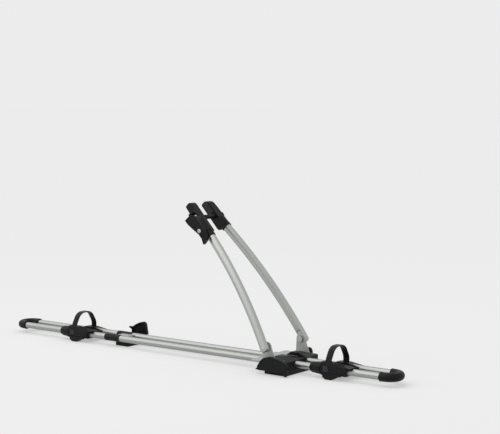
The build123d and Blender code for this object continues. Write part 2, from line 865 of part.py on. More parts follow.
shell_lever("front_foot_cover", cover_edge_shares, cover_tip_x, cover_bottom,
            cover_stop_x - cover_tip_x, cover_height, NEAR, cover_inside, knuckle_x)
shell_lever("front_foot_lever", foot_lever_shares, front_lever_tip_x, front_lever_bottom,
            foot_lever_length, foot_lever_height, FAR, cover_inside, lever_x)
rear_lever_x = rear_lever_tip_x + foot_lever_length - hinge_barrel / 2
shell_lever("rear_foot_lever", foot_lever_shares, rear_lever_tip_x, rear_lever_bottom,
            foot_lever_length, foot_lever_height, FAR, rear_lever_inside, rear_lever_x)

with BuildPart() as front_hinge_pins:
    with BuildSketch(level_plane(pad_level)):
        with Locations((knuckle_x, -knuckle_y), (lever_x, knuckle_y)):
            Circle(hinge_pin_diameter / 2)
    extrude(amount=cover_bottom + 2 * knuckle_height - pad_level)
save(front_hinge_pins, "front_hinge_pins")

# Rear foot
rear_foot_stop = rear_foot_x + rear_foot_length
rear_middle_y = (rear_foot_near + rear_foot_far) / 2
rear_knuckle_y = rear_lever_inside + hinge_barrel / 2
rear_screw_spots = ((rear_foot_x + screw_head, 0), (rear_foot_stop - screw_head, 0))
rear_clip_top = rear_base_level + rear_clip_height

with BuildPart() as rear_foot_pad:
    with BuildSketch(level_plane(-rail_height)):
        with Locations((rear_t_place_x, rear_middle_y)):
            RectangleRounded(rear_foot_length, rear_foot_far - rear_foot_near, foot_round)
        with Locations((rear_t_place_x, 0)):
            Rectangle(t_head + 2 * t_well, t_head + 2 * t_well, mode=Mode.SUBTRACT)
    extrude(amount=pad_thickness)
save(rear_foot_pad, "rear_foot_pad")

with BuildPart() as rear_foot_base:
    with BuildSketch(level_plane(pad_level)):
        with Locations((rear_t_place_x, rear_middle_y)):
            RectangleRounded(rear_foot_length, rear_foot_far - rear_foot_near, foot_round)
        with Locations((rear_lever_x, rear_knuckle_y)):
            Circle(hinge_barrel / 2)
            Rectangle(hinge_barrel, hinge_barrel, align=(Align.CENTER, Align.MAX))
    extrude(amount=rear_base_level - pad_level)
    with BuildSketch(end_plane(rear_foot_x - overrun)):
        with Locations((-rail_y, 0), (rail_y, 0)):
            Circle(groove_radius)
            Rectangle(2 * groove_radius, 2 * groove_radius, align=(Align.CENTER, Align.MIN))
    extrude(amount=rear_foot_length + 2 * overrun, mode=Mode.SUBTRACT)
    with BuildSketch(end_plane(rear_foot_x - overrun)):
        with Locations((-rail_y, 0), (rail_y, 0)):
            Circle(coupler_diameter / 2 + running_fit)
    extrude(amount=coupler_stop - rear_foot_x + overrun + running_fit, mode=Mode.SUBTRACT)
    with BuildSketch(level_plane(pad_level)):
        with Locations((rear_lever_x, rear_knuckle_y)):
            Circle(hinge_pin_diameter / 2)
    extrude(amount=rail_height, mode=Mode.SUBTRACT)
    with BuildSketch(level_plane(rear_clip_top - screw_length - clearance)):
        with Locations(*rear_screw_spots):
            Circle(screw_diameter / 2)
    extrude(amount=screw_length, mode=Mode.SUBTRACT)
    with BuildSketch(level_plane(pad_level - overrun)):
        with Locations((rear_t_place_x, 0)):
            Rectangle(t_head + 2 * t_well, t_head + 2 * t_well)
    extrude(amount=t_head_height + overrun, mode=Mode.SUBTRACT)
    with BuildSketch(level_plane(pad_level)):
        with Locations((rear_t_place_x, 0)):
            Circle(t_stud / 2 + running_fit)
    extrude(amount=rail_height, mode=Mode.SUBTRACT)
save(rear_foot_base, "rear_foot_base")


# The clip reaches over the far rail's inner flank and presses it into the base
with BuildPart() as rear_foot_clip:
    with BuildSketch(end_plane(rear_foot_x + rear_clip_inset)):
        with Locations((rear_clip_near, rear_base_level)):
            Rectangle(rail_y - rear_clip_near, rear_clip_height, align=(Align.MIN, Align.MIN))
        with Locations((rail_y, 0)):
            Circle(groove_radius, mode=Mode.SUBTRACT)
    extrude(amount=rear_foot_length - 2 * rear_clip_inset)
    with BuildSketch(end_plane(rear_foot_x)):
        with Locations((rail_y, 0)):
            Circle(coupler_diameter / 2 + running_fit)
    extrude(amount=coupler_stop - rear_foot_x + running_fit, mode=Mode.SUBTRACT)
    with BuildSketch(level_plane(rear_base_level - overrun)):
        with Locations(*rear_screw_spots):
            Circle(screw_diameter / 2)
    extrude(amount=rear_clip_height + 2 * overrun, mode=Mode.SUBTRACT)
    with BuildSketch(level_plane(rear_clip_top - screw_head_height)):
        with Locations(*rear_screw_spots):
            Circle(screw_head / 2 + clearance)
    extrude(amount=screw_head_height + overrun, mode=Mode.SUBTRACT)
save(rear_foot_clip, "rear_foot_clip")

with BuildPart() as rear_foot_screws:
    with BuildSketch(level_plane(rear_clip_top - screw_length)):
        with Locations(*rear_screw_spots):
            Circle(screw_diameter / 2 - running_fit)
    extrude(amount=screw_length - screw_head_height)
    with BuildSketch(level_plane(rear_clip_top - screw_head_height)):
        with Locations(*rear_screw_spots):
            Circle(screw_head / 2)
            RegularPolygon(socket_across / 2, 6, mode=Mode.SUBTRACT)
    extrude(amount=screw_head_height)
save(rear_foot_screws, "rear_foot_screws")

with BuildPart() as rear_hinge_pin:
    with BuildSketch(level_plane(pad_level)):
        with Locations((rear_lever_x, rear_knuckle_y)):
            Circle(hinge_pin_diameter / 2)
    extrude(amount=rear_lever_bottom + 2 * knuckle_height - pad_level)
save(rear_hinge_pin, "rear_hinge_pin")


def t_bolts(name, spots, top_level):
    """Bolts whose square heads slide in a 20 mm roof bar slot."""
    with BuildPart() as bolts:
        with BuildSketch(level_plane(pad_level - pad_thickness + t_well)):
            with Locations(*spots):
                Rectangle(t_head, t_head)
        extrude(amount=t_head_height)
        with BuildSketch(level_plane(pad_level - pad_thickness + t_well)):
            with Locations(*spots):
                Circle(t_stud / 2)
        extrude(amount=top_level - pad_level + pad_thickness - t_well)
    save(bolts, name)


t_bolts("front_t_bolts", ((t_place_x, -t_spacing / 2), (t_place_x, t_spacing / 2)), 0)
t_bolts("rear_t_bolt", ((rear_t_place_x, 0),), rear_base_level - clearance)


def arm_line(side):
    """Centre line of an arm, a shallow arc from its top down to the pivot."""
    top = Vector(arm_top_x, side * arm_top_y, rail_height + arm_top_level)
    eye = Vector(pivot_x, side * pivot_y, rail_height + pivot_level)
    chord = eye - top
    bulge = Vector(-chord.Z, 0, chord.X).normalized() * arm_bow
    middle = (top + eye) / 2 + bulge - Vector(0, side * arm_tuck, 0)
    with BuildLine() as line:
        ThreePointArc(top, middle, eye)
    return line.edges()[0]


def arm_section(path, share):
    """Plane square to an arm at a share of its length, drawn as (inward depth, width)."""
    return Plane(origin=path @ share, x_dir=(0, 1, 0), z_dir=path % share)


def arm_end(side, path):
    """Solid end of an arm past its pivot, cut round about the pivot's axis."""
    with BuildPart() as end:
        with BuildSketch(arm_section(path, 1)):
            Ellipse(arm_depth / 2, arm_width / 2)
        extrude(amount=arm_width)
        with BuildSketch(side_plane(side * (pivot_y - arm_depth))):
            with Locations((pivot_x, pivot_level)):
                Circle(arm_width / 2 + eye_margin)
        extrude(amount=-2 * side * arm_depth, mode=Mode.INTERSECT)
    return end.part


def near_arm():
    """Oval tube with a round lower end, milled flat on its inner side round the pivot bolt."""
    side = NEAR
    path = arm_line(side)
    round_end = arm_end(side, path)
    with BuildPart() as tube:
        with BuildSketch(arm_section(path, 0)):
            Ellipse(arm_depth / 2, arm_width / 2)
        sweep(path=path)
        add(round_end)
        with BuildSketch(side_plane(side * eye_face_y)):
            with Locations((pivot_x, pivot_level)):
                Circle(arm_depth / 2)
        extrude(amount=-side * (pivot_y - eye_face_y))
        with BuildSketch(side_plane(side * eye_face_y)):
            with Locations((pivot_x, pivot_level)):
                Circle(eye_flat_radius)
        extrude(amount=side * arm_depth / 2, mode=Mode.SUBTRACT)
        with BuildSketch(arm_section(path, 0)):
            Ellipse(arm_depth / 2 - arm_wall, arm_width / 2 - arm_wall)
        sweep(path=path.trim(0, arm_hollow_share), mode=Mode.SUBTRACT)
        with BuildSketch(side_plane(side * (eye_face_y - overrun))):
            with Locations((pivot_x, pivot_level)):
                Circle(bolt_diameter / 2 + bolt_play)
        extrude(amount=-side * (bolt_depth + bolt_play + overrun), mode=Mode.SUBTRACT)
        with BuildSketch(head_plane(side * arm_top_y)):
            with Locations(*jaw_screw_spots):
                Circle(jaw_screw_diameter / 2)
        extrude(amount=side * arm_depth, mode=Mode.SUBTRACT)
    return tube


def pivot_bolt(name, side):
    """Bolt from inside the ear into the arm's round end, with its washer."""
    head_y = ear_inside - clearance
    with BuildPart() as bolt:
        with BuildSketch(side_plane(side * head_y)):
            with Locations((pivot_x, pivot_level)):
                RegularPolygon(bolt_head / 2, 6, major_radius=False)
        extrude(amount=side * bolt_head_height)
        with BuildSketch(side_plane(side * head_y)):
            with Locations((pivot_x, pivot_level)):
                Circle(bolt_diameter / 2)
        extrude(amount=-side * (eye_face_y + bolt_depth - head_y))
        with BuildSketch(side_plane(side * (ear_inside + ear_thickness + clearance))):
            with Locations((pivot_x, pivot_level)):
                Circle(washer_diameter / 2)
        extrude(amount=-side * washer_thickness)
    save(bolt, name)


arm_near = near_arm()
save(arm_near, "arm_near")
with BuildPart() as arm_far:
    mirror(arm_near.part, about=Plane.XZ)
save(arm_far, "arm_far")
pivot_bolt("pivot_bolt_near", NEAR)
pivot_bolt("pivot_bolt_far", FAR)


def arm_core(side, play):
    """The arm's own outline with some play, to cut a socket for it."""
    path = arm_line(side)
    with BuildPart() as core:
        with BuildSketch(arm_section(path, 0)):
            Ellipse(arm_depth / 2 + play, arm_width / 2 + play)
        sweep(path=path.trim(0, arm_socket_share))
    return core.part


def arm_ring(side, distance, length, wall):
    """Oval boss round the arm at a distance down from its top."""
    path = arm_line(side)
    with BuildPart() as ring:
        with BuildSketch(arm_section(path, distance / path.length)):
            Ellipse(arm_depth / 2 + wall, arm_width / 2 + wall)
        extrude(amount=length)
    return ring.part


near_screw_seat = cam_block_outer - jaw_screw_height - clearance
near_core = arm_core(NEAR, running_fit)
far_core = arm_core(FAR, running_fit)
near_boss = arm_ring(NEAR, 0, near_boss_length, boss_wall)
far_boss = arm_ring(FAR, 0, far_boss_length, boss_wall)
near_collar = arm_ring(NEAR, arm_collar_distance, arm_collar_length, arm_collar_wall)

with BuildPart() as jaw_near:
    with BuildSketch(head_plane(-jaw_heel)):
        with BuildLine():
            near_back = Polyline(
                (jaw_top - near_jaw_back, jaw_front),
                (near_jaw_foot, jaw_front),
                (near_jaw_foot, -near_jaw_back + jaw_round),
                (grip_pad_start, -near_jaw_back + jaw_round),
                (2 * grip_pad_start, -near_jaw_back),
                (jaw_top - jaw_round, -near_jaw_back),
            )
            ThreePointArc(near_back @ 1, (jaw_top, -jaw_round), near_back @ 0)
        make_face()
    extrude(amount=jaw_heel - jaw_inner)
    with BuildSketch(head_side(near_jaw_back + overrun)):
        Polygon(
            (near_jaw_foot, -jaw_inner),
            (near_jaw_foot, -jaw_heel),
            (cam_block_foot, -jaw_heel),
            (cam_block_top, -jaw_outer - pad_height),
            (cam_block_top + jaw_round, -jaw_outer),
            (jaw_top - jaw_round, -jaw_outer + jaw_round),
            (jaw_top, -jaw_outer + 2 * jaw_round),
            (jaw_top, -jaw_inner),
            align=None,
        )
    extrude(amount=2 * (near_jaw_back + overrun), both=True, mode=Mode.INTERSECT)
    with BuildSketch(head_plane(-cam_block_outer)):
        with BuildLine():
            Polyline(
                (cam_block_foot, -near_jaw_back + jaw_round),
                (cam_block_top, -near_jaw_back + jaw_round),
                (cam_block_top, jaw_front),
                (cam_block_foot, jaw_front),
                close=True,
            )
        make_face()
    extrude(amount=cam_block_outer - jaw_outer)
    add(near_boss)
    # Concave seat for the cam, rod bore and the pocket that takes the sleeve
    with BuildSketch(head_side(near_jaw_back + overrun)):
        with Locations((lever_pin_along, lever_pin_y)):
            Circle(lobe_radius + clearance)
    extrude(amount=2 * (near_jaw_back + overrun), both=True, mode=Mode.SUBTRACT)
    with BuildSketch(head_plane(-cam_block_outer - overrun)):
        Circle(rod_diameter / 2 + running_fit)
    extrude(amount=cam_block_outer, mode=Mode.SUBTRACT)
    with BuildSketch(head_plane(-jaw_inner - pocket_depth)):
        Circle(sleeve_pocket / 2)
    extrude(amount=pocket_depth + overrun, mode=Mode.SUBTRACT)
    with BuildSketch(head_plane(-cam_block_outer - overrun)):
        with Locations(*jaw_screw_spots):
            Circle(jaw_screw_diameter / 2)
    extrude(amount=cam_block_outer - jaw_outer + jaw_screw_length + overrun, mode=Mode.SUBTRACT)
    with BuildSketch(head_plane(-cam_block_outer - overrun)):
        with Locations(*jaw_screw_spots):
            Circle(jaw_screw_head / 2 + clearance)
    extrude(amount=overrun + cam_block_outer - near_screw_seat, mode=Mode.SUBTRACT)
    add(near_core, mode=Mode.SUBTRACT)
save(jaw_near, "jaw_near")

with BuildPart() as jaw_far:
    with BuildSketch(head_plane(jaw_inner)):
        with BuildLine():
            far_back = Polyline(
                (jaw_top - near_jaw_back, jaw_front),
                (far_jaw_foot, jaw_front),
                (far_jaw_foot, -far_jaw_back + far_jaw_round),
            )
            heel = ThreePointArc(
                far_back @ 1,
                (far_jaw_foot + far_jaw_sagitta, -far_jaw_back + far_jaw_sagitta),
                (far_jaw_foot + far_jaw_round, -far_jaw_back),
            )
            rise = Line(heel @ 1, (jaw_top - jaw_round, -far_jaw_back))
            ThreePointArc(rise @ 1, (jaw_top, -jaw_round), far_back @ 0)
        make_face()
    extrude(amount=jaw_heel - jaw_inner)
    with BuildSketch(head_side(far_jaw_back + overrun)):
        Polygon(
            (far_jaw_foot, jaw_inner),
            (far_jaw_foot, jaw_heel),
            (cam_block_top, jaw_outer + pad_height),
            (jaw_top - jaw_round, jaw_outer - jaw_round),
            (jaw_top, jaw_outer - 2 * jaw_round),
            (jaw_top, jaw_inner),
            align=None,
        )
    extrude(amount=2 * (far_jaw_back + overrun), both=True, mode=Mode.INTERSECT)
    add(far_boss)
    with BuildSketch(head_plane(jaw_inner)):
        Circle(nut_boss_diameter / 2)
    extrude(amount=jaw_heel - jaw_inner)
    with BuildSketch(head_plane(0)):
        Circle(sleeve_outer / 2)
    extrude(amount=jaw_heel + overrun, mode=Mode.SUBTRACT)
    with BuildSketch(head_plane(jaw_heel + overrun)):
        with Locations(*jaw_screw_spots):
            Circle(jaw_screw_diameter / 2)
    extrude(amount=-jaw_screw_length - overrun, mode=Mode.SUBTRACT)
    with BuildSketch(head_plane(far_screw_seat)):
        with Locations(*jaw_screw_spots):
            Circle(jaw_screw_head / 2 + clearance)
    extrude(amount=jaw_heel, mode=Mode.SUBTRACT)
    add(far_core, mode=Mode.SUBTRACT)
save(jaw_far, "jaw_far")


def grip_pad(name, side, back):
    """Soft pad on a jaw's inner face, grooved across."""
    with BuildPart() as pad:
        with BuildSketch(head_plane(side * jaw_inner)):
            with Locations((grip_pad_start + grip_pad_length / 2, (jaw_front - back) / 2)):
                RectangleRounded(grip_pad_length, grip_pad_width, jaw_round)
        extrude(amount=-side * pad_height)
        with BuildSketch(head_plane(side * (jaw_inner - pad_height))):
            with Locations((grip_pad_start + grip_pad_length / 2, (jaw_front - back) / 2)):
                with GridLocations(grip_pad_length / (grip_groove_count + 1), 0, grip_groove_count, 1):
                    Rectangle(grip_groove, grip_pad_width)
        extrude(amount=side * grip_groove, mode=Mode.SUBTRACT)
    save(pad, name)


grip_pad("jaw_pad_near", NEAR, near_jaw_back)
grip_pad("jaw_pad_far", FAR, near_jaw_back)

with BuildPart() as arm_collar:
    add(near_collar)
    add(near_core, mode=Mode.SUBTRACT)
save(arm_collar, "arm_collar")


def jaw_screws(name, side, outer):
    """Two screws that hold a jaw on its arm."""
    with BuildPart() as screws:
        with BuildSketch(head_plane(side * outer)):
            with Locations(*jaw_screw_spots):
                Circle(jaw_screw_head / 2)
        extrude(amount=side * jaw_screw_height)
        with BuildSketch(head_plane(side * (outer + jaw_screw_height))):
            with Locations(*jaw_screw_spots):
                RegularPolygon(socket_across / 2, 6)
        extrude(amount=-side * jaw_screw_height / 2, mode=Mode.SUBTRACT)
        with BuildSketch(head_plane(side * outer)):
            with Locations(*jaw_screw_spots):
                Circle(jaw_screw_diameter / 2 - running_fit)
        extrude(amount=-side * (jaw_screw_length - jaw_screw_height))
    save(screws, name)


jaw_screws("jaw_screws_far", FAR, far_screw_seat)
jaw_screws("jaw_screws_near", NEAR, near_screw_seat)

with BuildPart() as clamp_rod:
    with BuildSketch(head_plane(lever_pin_y)):
        Circle(rod_diameter / 2)
    extrude(amount=rod_reach - lever_pin_y)
    with BuildSketch(head_side()):
        with Locations((lever_pin_along, lever_pin_y)):
            Circle(rod_eye_diameter / 2)
    extrude(amount=rod_diameter / 2, both=True)
    with BuildSketch(head_side()):
        with Locations((lever_pin_along, lever_pin_y)):
            Circle(lever_pin_diameter / 2 + running_fit)
    extrude(amount=rod_diameter, both=True, mode=Mode.SUBTRACT)
save(clamp_rod, "clamp_rod")

with BuildPart() as clamp_sleeve:
    with BuildSketch(head_plane(sleeve_start)):
        Circle(sleeve_outer / 2)
        Circle(sleeve_inner / 2, mode=Mode.SUBTRACT)
    extrude(amount=jaw_heel - sleeve_start)
save(clamp_sleeve, "clamp_sleeve")

with BuildPart() as clamp_cap_nut:
    with BuildSketch(head_plane(jaw_heel)):
        RegularPolygon(cap_nut_across / 2, 6, major_radius=False)
    extrude(amount=cap_nut_height)
    chamfer(clamp_cap_nut.faces().sort_by(Axis.Y)[-1].edges(), cap_nut_chamfer)
    with BuildSketch(head_plane(jaw_heel + cap_nut_height)):
        Circle(cap_nut_dome)
    extrude(amount=cap_nut_crown)
    fillet(clamp_cap_nut.faces().sort_by(Axis.Y)[-1].edges(), cap_nut_round)
save(clamp_cap_nut, "clamp_cap_nut")

with BuildPart() as lever_pin:
    with BuildSketch(head_side(-lever_front)):
        with Locations((lever_pin_along, lever_pin_y)):
            Circle(lever_pin_diameter / 2)
    extrude(amount=-2 * lever_front)
save(lever_pin, "lever_pin")

# Clamp lever: a curved blade with a claw tip, forked at its cam end
lever_heel = lever_front - lever_width
blade_points = [
    (lever_top - pa * lever_length, lever_heel + pb * lever_width) for pa, pb in lever_outline_shares
]
with BuildPart() as clamp_lever:
    with BuildSketch(head_plane(-lever_face)):
        Polygon(*blade_points, align=None)
    extrude(amount=lever_face - jaw_outer)
    with BuildSketch(head_side()):
        with Locations((lever_pin_along, lever_pin_y)):
            Circle(lobe_radius)
        with Locations((lever_pin_along, -(lever_face + lever_back) / 2)):
            Rectangle(lever_length, lever_face - lever_back, align=(Align.MAX, Align.CENTER))
    extrude(amount=lever_length, both=True, mode=Mode.INTERSECT)
    with BuildSketch(head_side()):
        eye_room = rod_eye_diameter / 2 + clearance
        with Locations((lever_pin_along - eye_room, lever_pin_y - eye_room)):
            Rectangle(lever_length, lever_length, align=(Align.MIN, Align.MIN))
    extrude(amount=lever_slot / 2, both=True, mode=Mode.SUBTRACT)
    with BuildSketch(head_side()):
        with Locations((lever_pin_along, lever_pin_y)):
            Circle(lever_pin_diameter / 2 + running_fit)
    extrude(amount=lever_front + overrun, both=True, mode=Mode.SUBTRACT)
    with BuildSketch(head_plane(-lever_face - overrun)):
        with Locations((lock_along, lock_across)):
            Circle(lock_diameter / 2 + running_fit)
    extrude(amount=lock_depth + overrun, mode=Mode.SUBTRACT)
save(clamp_lever, "clamp_lever")

with BuildPart() as lock_cylinder:
    with BuildSketch(head_plane(-lever_face - lock_proud)):
        with Locations((lock_along, lock_across)):
            Circle(lock_diameter / 2)
    extrude(amount=lock_depth)
    with BuildSketch(head_plane(-lever_face - lock_proud)):
        with Locations((lock_along, lock_across)):
            Rectangle(key_slot_length, key_slot_width)
    extrude(amount=key_slot_depth, mode=Mode.SUBTRACT)
save(lock_cylinder, "lock_cylinder")
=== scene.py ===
"""Looks of a roof mounted bike carrier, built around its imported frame.

Sizes are in millimetres in the frame's own axes: X runs to the front of the car,
Y to the far side and Z up from under the feet. MM turns them to metres.
"""

from __future__ import annotations

import logging
import math
from dataclasses import dataclass
from enum import Enum
from typing import Any, Callable, Iterable, Sequence

import bpy
from mathutils import Matrix, Vector

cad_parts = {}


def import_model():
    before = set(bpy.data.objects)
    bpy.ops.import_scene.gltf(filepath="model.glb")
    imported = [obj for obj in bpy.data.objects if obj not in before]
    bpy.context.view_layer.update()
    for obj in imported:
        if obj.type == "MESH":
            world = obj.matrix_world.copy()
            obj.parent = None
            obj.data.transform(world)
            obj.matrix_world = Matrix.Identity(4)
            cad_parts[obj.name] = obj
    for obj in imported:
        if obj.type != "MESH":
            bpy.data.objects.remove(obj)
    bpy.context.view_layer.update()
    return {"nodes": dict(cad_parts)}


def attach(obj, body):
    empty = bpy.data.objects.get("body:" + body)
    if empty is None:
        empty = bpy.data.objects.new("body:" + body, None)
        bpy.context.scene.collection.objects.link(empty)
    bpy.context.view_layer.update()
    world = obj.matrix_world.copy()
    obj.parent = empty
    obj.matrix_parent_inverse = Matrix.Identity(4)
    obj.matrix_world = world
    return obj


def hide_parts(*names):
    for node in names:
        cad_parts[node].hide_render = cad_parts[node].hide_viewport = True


log = logging.getLogger("bike_carrier")

MM = 0.001
RAIL_HEIGHT = 27.0
RAIL_Y = 29.0
NEAR = -1.0
FAR = 1.0

# Turns that lay an upright cylinder along an axis
ALONG_X = (0.0, math.pi / 2, 0.0)
ALONG_Y = (math.pi / 2, 0.0, 0.0)
UPRIGHT = (0.0, 0.0, 0.0)

Point = Sequence[float]
Pair = tuple[float, float]
Triple = tuple[float, float, float]
Piece = bpy.types.Object
Tree = bpy.types.NodeTree
Socket = bpy.types.NodeSocket


class Slot(Enum):
    """The record's material slots."""

    RAIL = "rail_aluminium"
    ARM = "arm_aluminium"
    YOKE = "yoke_steel"
    BLACK = "black_plastic"
    CLAMP = "clamp_plastic"
    BUTTON = "button_plastic"
    STRAP = "strap_plastic"
    RUBBER = "pad_rubber"
    SCREW = "screw_steel"
    LOCK = "lock_metal"


def linear(colour: str) -> tuple[float, float, float, float]:
    """Turn an sRGB hex colour to linear values.

    Args:
        colour: six hex digits with a leading hash.

    Returns:
        Red, green, blue and an alpha of one.
    """
    parts = [int(colour[i:i + 2], 16) / 255 for i in (1, 3, 5)]
    turned = [c / 12.92 if c <= 0.04045 else ((c + 0.055) / 1.055) ** 2.4 for c in parts]
    return (turned[0], turned[1], turned[2], 1.0)


def add_node(tree: Tree, kind: str, settings: dict | None = None,
             links: dict | None = None) -> bpy.types.Node:
    """Add a node with its settings and links.

    Args:
        tree: the material's or world's node tree.
        kind: the node's type, without the ShaderNode in front.
        settings: values for the node's own properties or its input sockets.
        links: output sockets that feed the input sockets they are filed under.

    Returns:
        The new node.
    """
    node = tree.nodes.new("ShaderNode" + kind)
    for key, value in (settings or {}).items():
        if isinstance(key, str) and hasattr(node, key):
            setattr(node, key, value)
        else:
            node.inputs[key].default_value = value
    for key, source in (links or {}).items():
        tree.links.new(source, node.inputs[key])
    return node


def span(tree: Tree, source: Socket, low: float, high: float, start: float = 0.3,
         stop: float = 0.7) -> Socket:
    """Stretch a pattern's middle values between two numbers.

    Args:
        tree: the material's tree.
        source: the pattern's value socket.
        low: result at start.
        high: result at stop.
        start: pattern value that gives low.
        stop: pattern value that gives high.

    Returns:
        The stretched value's socket.
    """
    node = add_node(tree, "MapRange", {1: start, 2: stop, 3: low, 4: high}, {0: source})
    return node.outputs[0]


@dataclass(frozen=True)
class Grain:
    """A noise pattern: the size of one speck, its octaves and its stretch along each axis."""

    size_mm: float
    detail: float = 2.0
    stretch: Triple = (1.0, 1.0, 1.0)

    def draw(self, tree: Tree, turn: Triple = UPRIGHT) -> Socket:
        """Draw the pattern on Object coordinates.

        Args:
            tree: the material's tree.
            turn: rotation of the pattern, in radians.

        Returns:
            The pattern's value socket.
        """
        place = add_node(tree, "TexCoord")
        mapped = add_node(tree, "Mapping", {"Rotation": turn, "Scale": self.stretch},
                          {"Vector": place.outputs["Object"]})
        noise = add_node(tree, "TexNoise",
                         {"Scale": 1.0 / (self.size_mm * MM), "Detail": self.detail},
                         {"Vector": mapped.outputs["Vector"]})
        return noise.outputs[0]


@dataclass(frozen=True)
class Finish:
    """A surface with fine relief, a cloudy tone between two colours and an uneven gloss."""

    name: str
    colour: str
    shade: str
    roughness: float
    edge_mm: float = 0.6
    metallic: float = 0.0
    sheen: float = 0.5
    relief: Grain = Grain(1.0)
    cloud: Grain = Grain(30.0)
    turn: Triple = UPRIGHT
    cloud_share: float = 1.0
    gloss_swing: Pair = (-0.05, 0.05)
    hazy: bool = False
    bump: float = 0.5
    depth_mm: float = 0.05

    def tone(self, tree: Tree, relief: Socket, cloud: Socket, edge: Socket) -> Socket:
        """Mix the surface's colour.

        Args:
            tree: the material's tree.
            relief: value of the fine pattern.
            cloud: value of the coarse pattern.
            edge: normals with the hard edges rounded off.

        Returns:
            The colour's socket.
        """
        return self.mix(tree, span(tree, cloud, 0.0, self.cloud_share))

    def mix(self, tree: Tree, share: Socket) -> Socket:
        """Mix the finish's two colours.

        Args:
            tree: the material's tree.
            share: how much of the shade shows.

        Returns:
            The mixed colour's socket.
        """
        ends = {"data_type": "RGBA", 6: linear(self.colour), 7: linear(self.shade)}
        return add_node(tree, "Mix", ends, {0: share}).outputs[2]

    def material(self) -> bpy.types.Material:
        """Build the material from the finish's two patterns.

        Returns:
            The material, with its tone, gloss and relief linked.
        """
        material = bpy.data.materials.new(self.name)
        material.use_nodes = True
        material.diffuse_color = linear(self.colour)
        tree = material.node_tree
        tree.nodes.clear()
        relief = self.relief.draw(tree, self.turn)
        cloud = self.cloud.draw(tree, self.turn)
        edge = add_node(tree, "Bevel", {"samples": 4, "Radius": self.edge_mm * MM}).outputs[0]
        low, high = (self.roughness + swing for swing in self.gloss_swing)
        bump = add_node(tree, "Bump", {"Strength": self.bump, "Distance": self.depth_mm * MM},
                        {"Height": relief, "Normal": edge})
        shader = add_node(tree, "BsdfPrincipled",
                          {"Metallic": self.metallic, "Specular IOR Level": self.sheen},
                          {"Base Color": self.tone(tree, relief, cloud, edge),
                           "Roughness": span(tree, cloud if self.hazy else relief, low, high),
                           "Normal": bump.outputs[0]})
        add_node(tree, "OutputMaterial", links={"Surface": shader.outputs["BSDF"]})
        return material


@dataclass(frozen=True)
class MouldedPlastic(Finish):
    """Injection moulded plastic with a spark-eroded grain: matt, with worn paler edges.

    The real grain is near 0.1 mm; it is drawn coarser so that it shows.
    """

    sheen: float = 0.16
    relief: Grain = Grain(0.9, 3.0)
    cloud: Grain = Grain(40.0)
    gloss_swing: Pair = (-0.06, 0.08)
    wear: str = "#6a6a6a"
    wear_share: float = 0.35
    wear_patches: Grain = Grain(6.0, 3.0)

    def tone(self, tree: Tree, relief: Socket, cloud: Socket, edge: Socket) -> Socket:
        """Faint flow marks, and edges rubbed slightly paler.

        Args:
            tree: the material's tree.
            relief: value of the fine pattern.
            cloud: value of the coarse pattern.
            edge: normals with the hard edges rounded off.

        Returns:
            The colour's socket.
        """
        body = super().tone(tree, relief, cloud, edge)
        flat = add_node(tree, "NewGeometry")
        turn = add_node(tree, "VectorMath", {"operation": "DOT_PRODUCT"},
                        {0: edge, 1: flat.outputs["Normal"]})
        rubbed = span(tree, turn.outputs["Value"], self.wear_share, 0.0, 0.80, 0.99)
        patches = span(tree, self.wear_patches.draw(tree), 0.3, 1.0, 0.4, 0.6)
        patch = add_node(tree, "Math", {"operation": "MULTIPLY"}, {0: rubbed, 1: patches})
        worn = add_node(tree, "Mix", {"data_type": "RGBA", 7: linear(self.wear)},
                        {0: patch.outputs[0], 6: body})
        return worn.outputs[2]


@dataclass(frozen=True)
class AnodisedAluminium(Finish):
    """Extruded tube, etched and anodised: satin metal with faint lines along its length.

    The real drawing lines are finer than 0.1 mm; they are drawn wider so that they show.
    """

    metallic: float = 1.0
    relief: Grain = Grain(0.7, 3.0, (0.006, 1.0, 1.0))
    cloud: Grain = Grain(90.0, 1.0, (0.3, 1.0, 1.0))
    gloss_swing: Pair = (-0.02, 0.03)
    bump: float = 0.12
    depth_mm: float = 0.01
    line_share: float = 0.55
    cloud_share: float = 0.45

    def tone(self, tree: Tree, relief: Socket, cloud: Socket, edge: Socket) -> Socket:
        """Long drawing lines over a soft cloudy tone.

        Args:
            tree: the material's tree.
            relief: value of the fine pattern.
            cloud: value of the coarse pattern.
            edge: normals with the hard edges rounded off.

        Returns:
            The colour's socket.
        """
        share = add_node(tree, "Math", {"operation": "ADD", "use_clamp": True},
                         {0: span(tree, relief, 0.0, self.line_share),
                          1: span(tree, cloud, 0.0, self.cloud_share)})
        return self.mix(tree, share.outputs[0])


@dataclass(frozen=True)
class PowderCoat(Finish):
    """Pressed steel under a light grey powder coat: low sheen with a fine orange peel."""

    metallic: float = 0.35
    relief: Grain = Grain(1.4)
    cloud: Grain = Grain(30.0, 3.0)
    gloss_swing: Pair = (-0.05, 0.06)
    bump: float = 0.35
    depth_mm: float = 0.04


@dataclass(frozen=True)
class PlatedMetal(Finish):
    """Turned or pressed metal, plated: bright, with faint tool marks and handling haze."""

    edge_mm: float = 0.2
    metallic: float = 1.0
    relief: Grain = Grain(0.4, 2.0, (1.0, 1.0, 0.2))
    cloud: Grain = Grain(4.0, 3.0)
    gloss_swing: Pair = (-0.06, 0.12)
    hazy: bool = True
    bump: float = 0.2
    depth_mm: float = 0.02


@dataclass(frozen=True)
class MouldedRubber(Finish):
    """Vulcanised rubber pad: dead matt black, finely pitted, with a powdery bloom in patches."""

    relief: Grain = Grain(0.8)
    cloud: Grain = Grain(14.0, 4.0)
    cloud_share: float = 0.6
    gloss_swing: Pair = (-0.1, 0.1)
    depth_mm: float = 0.06


ARM_TURN = (0.0, math.radians(47.0), 0.0)

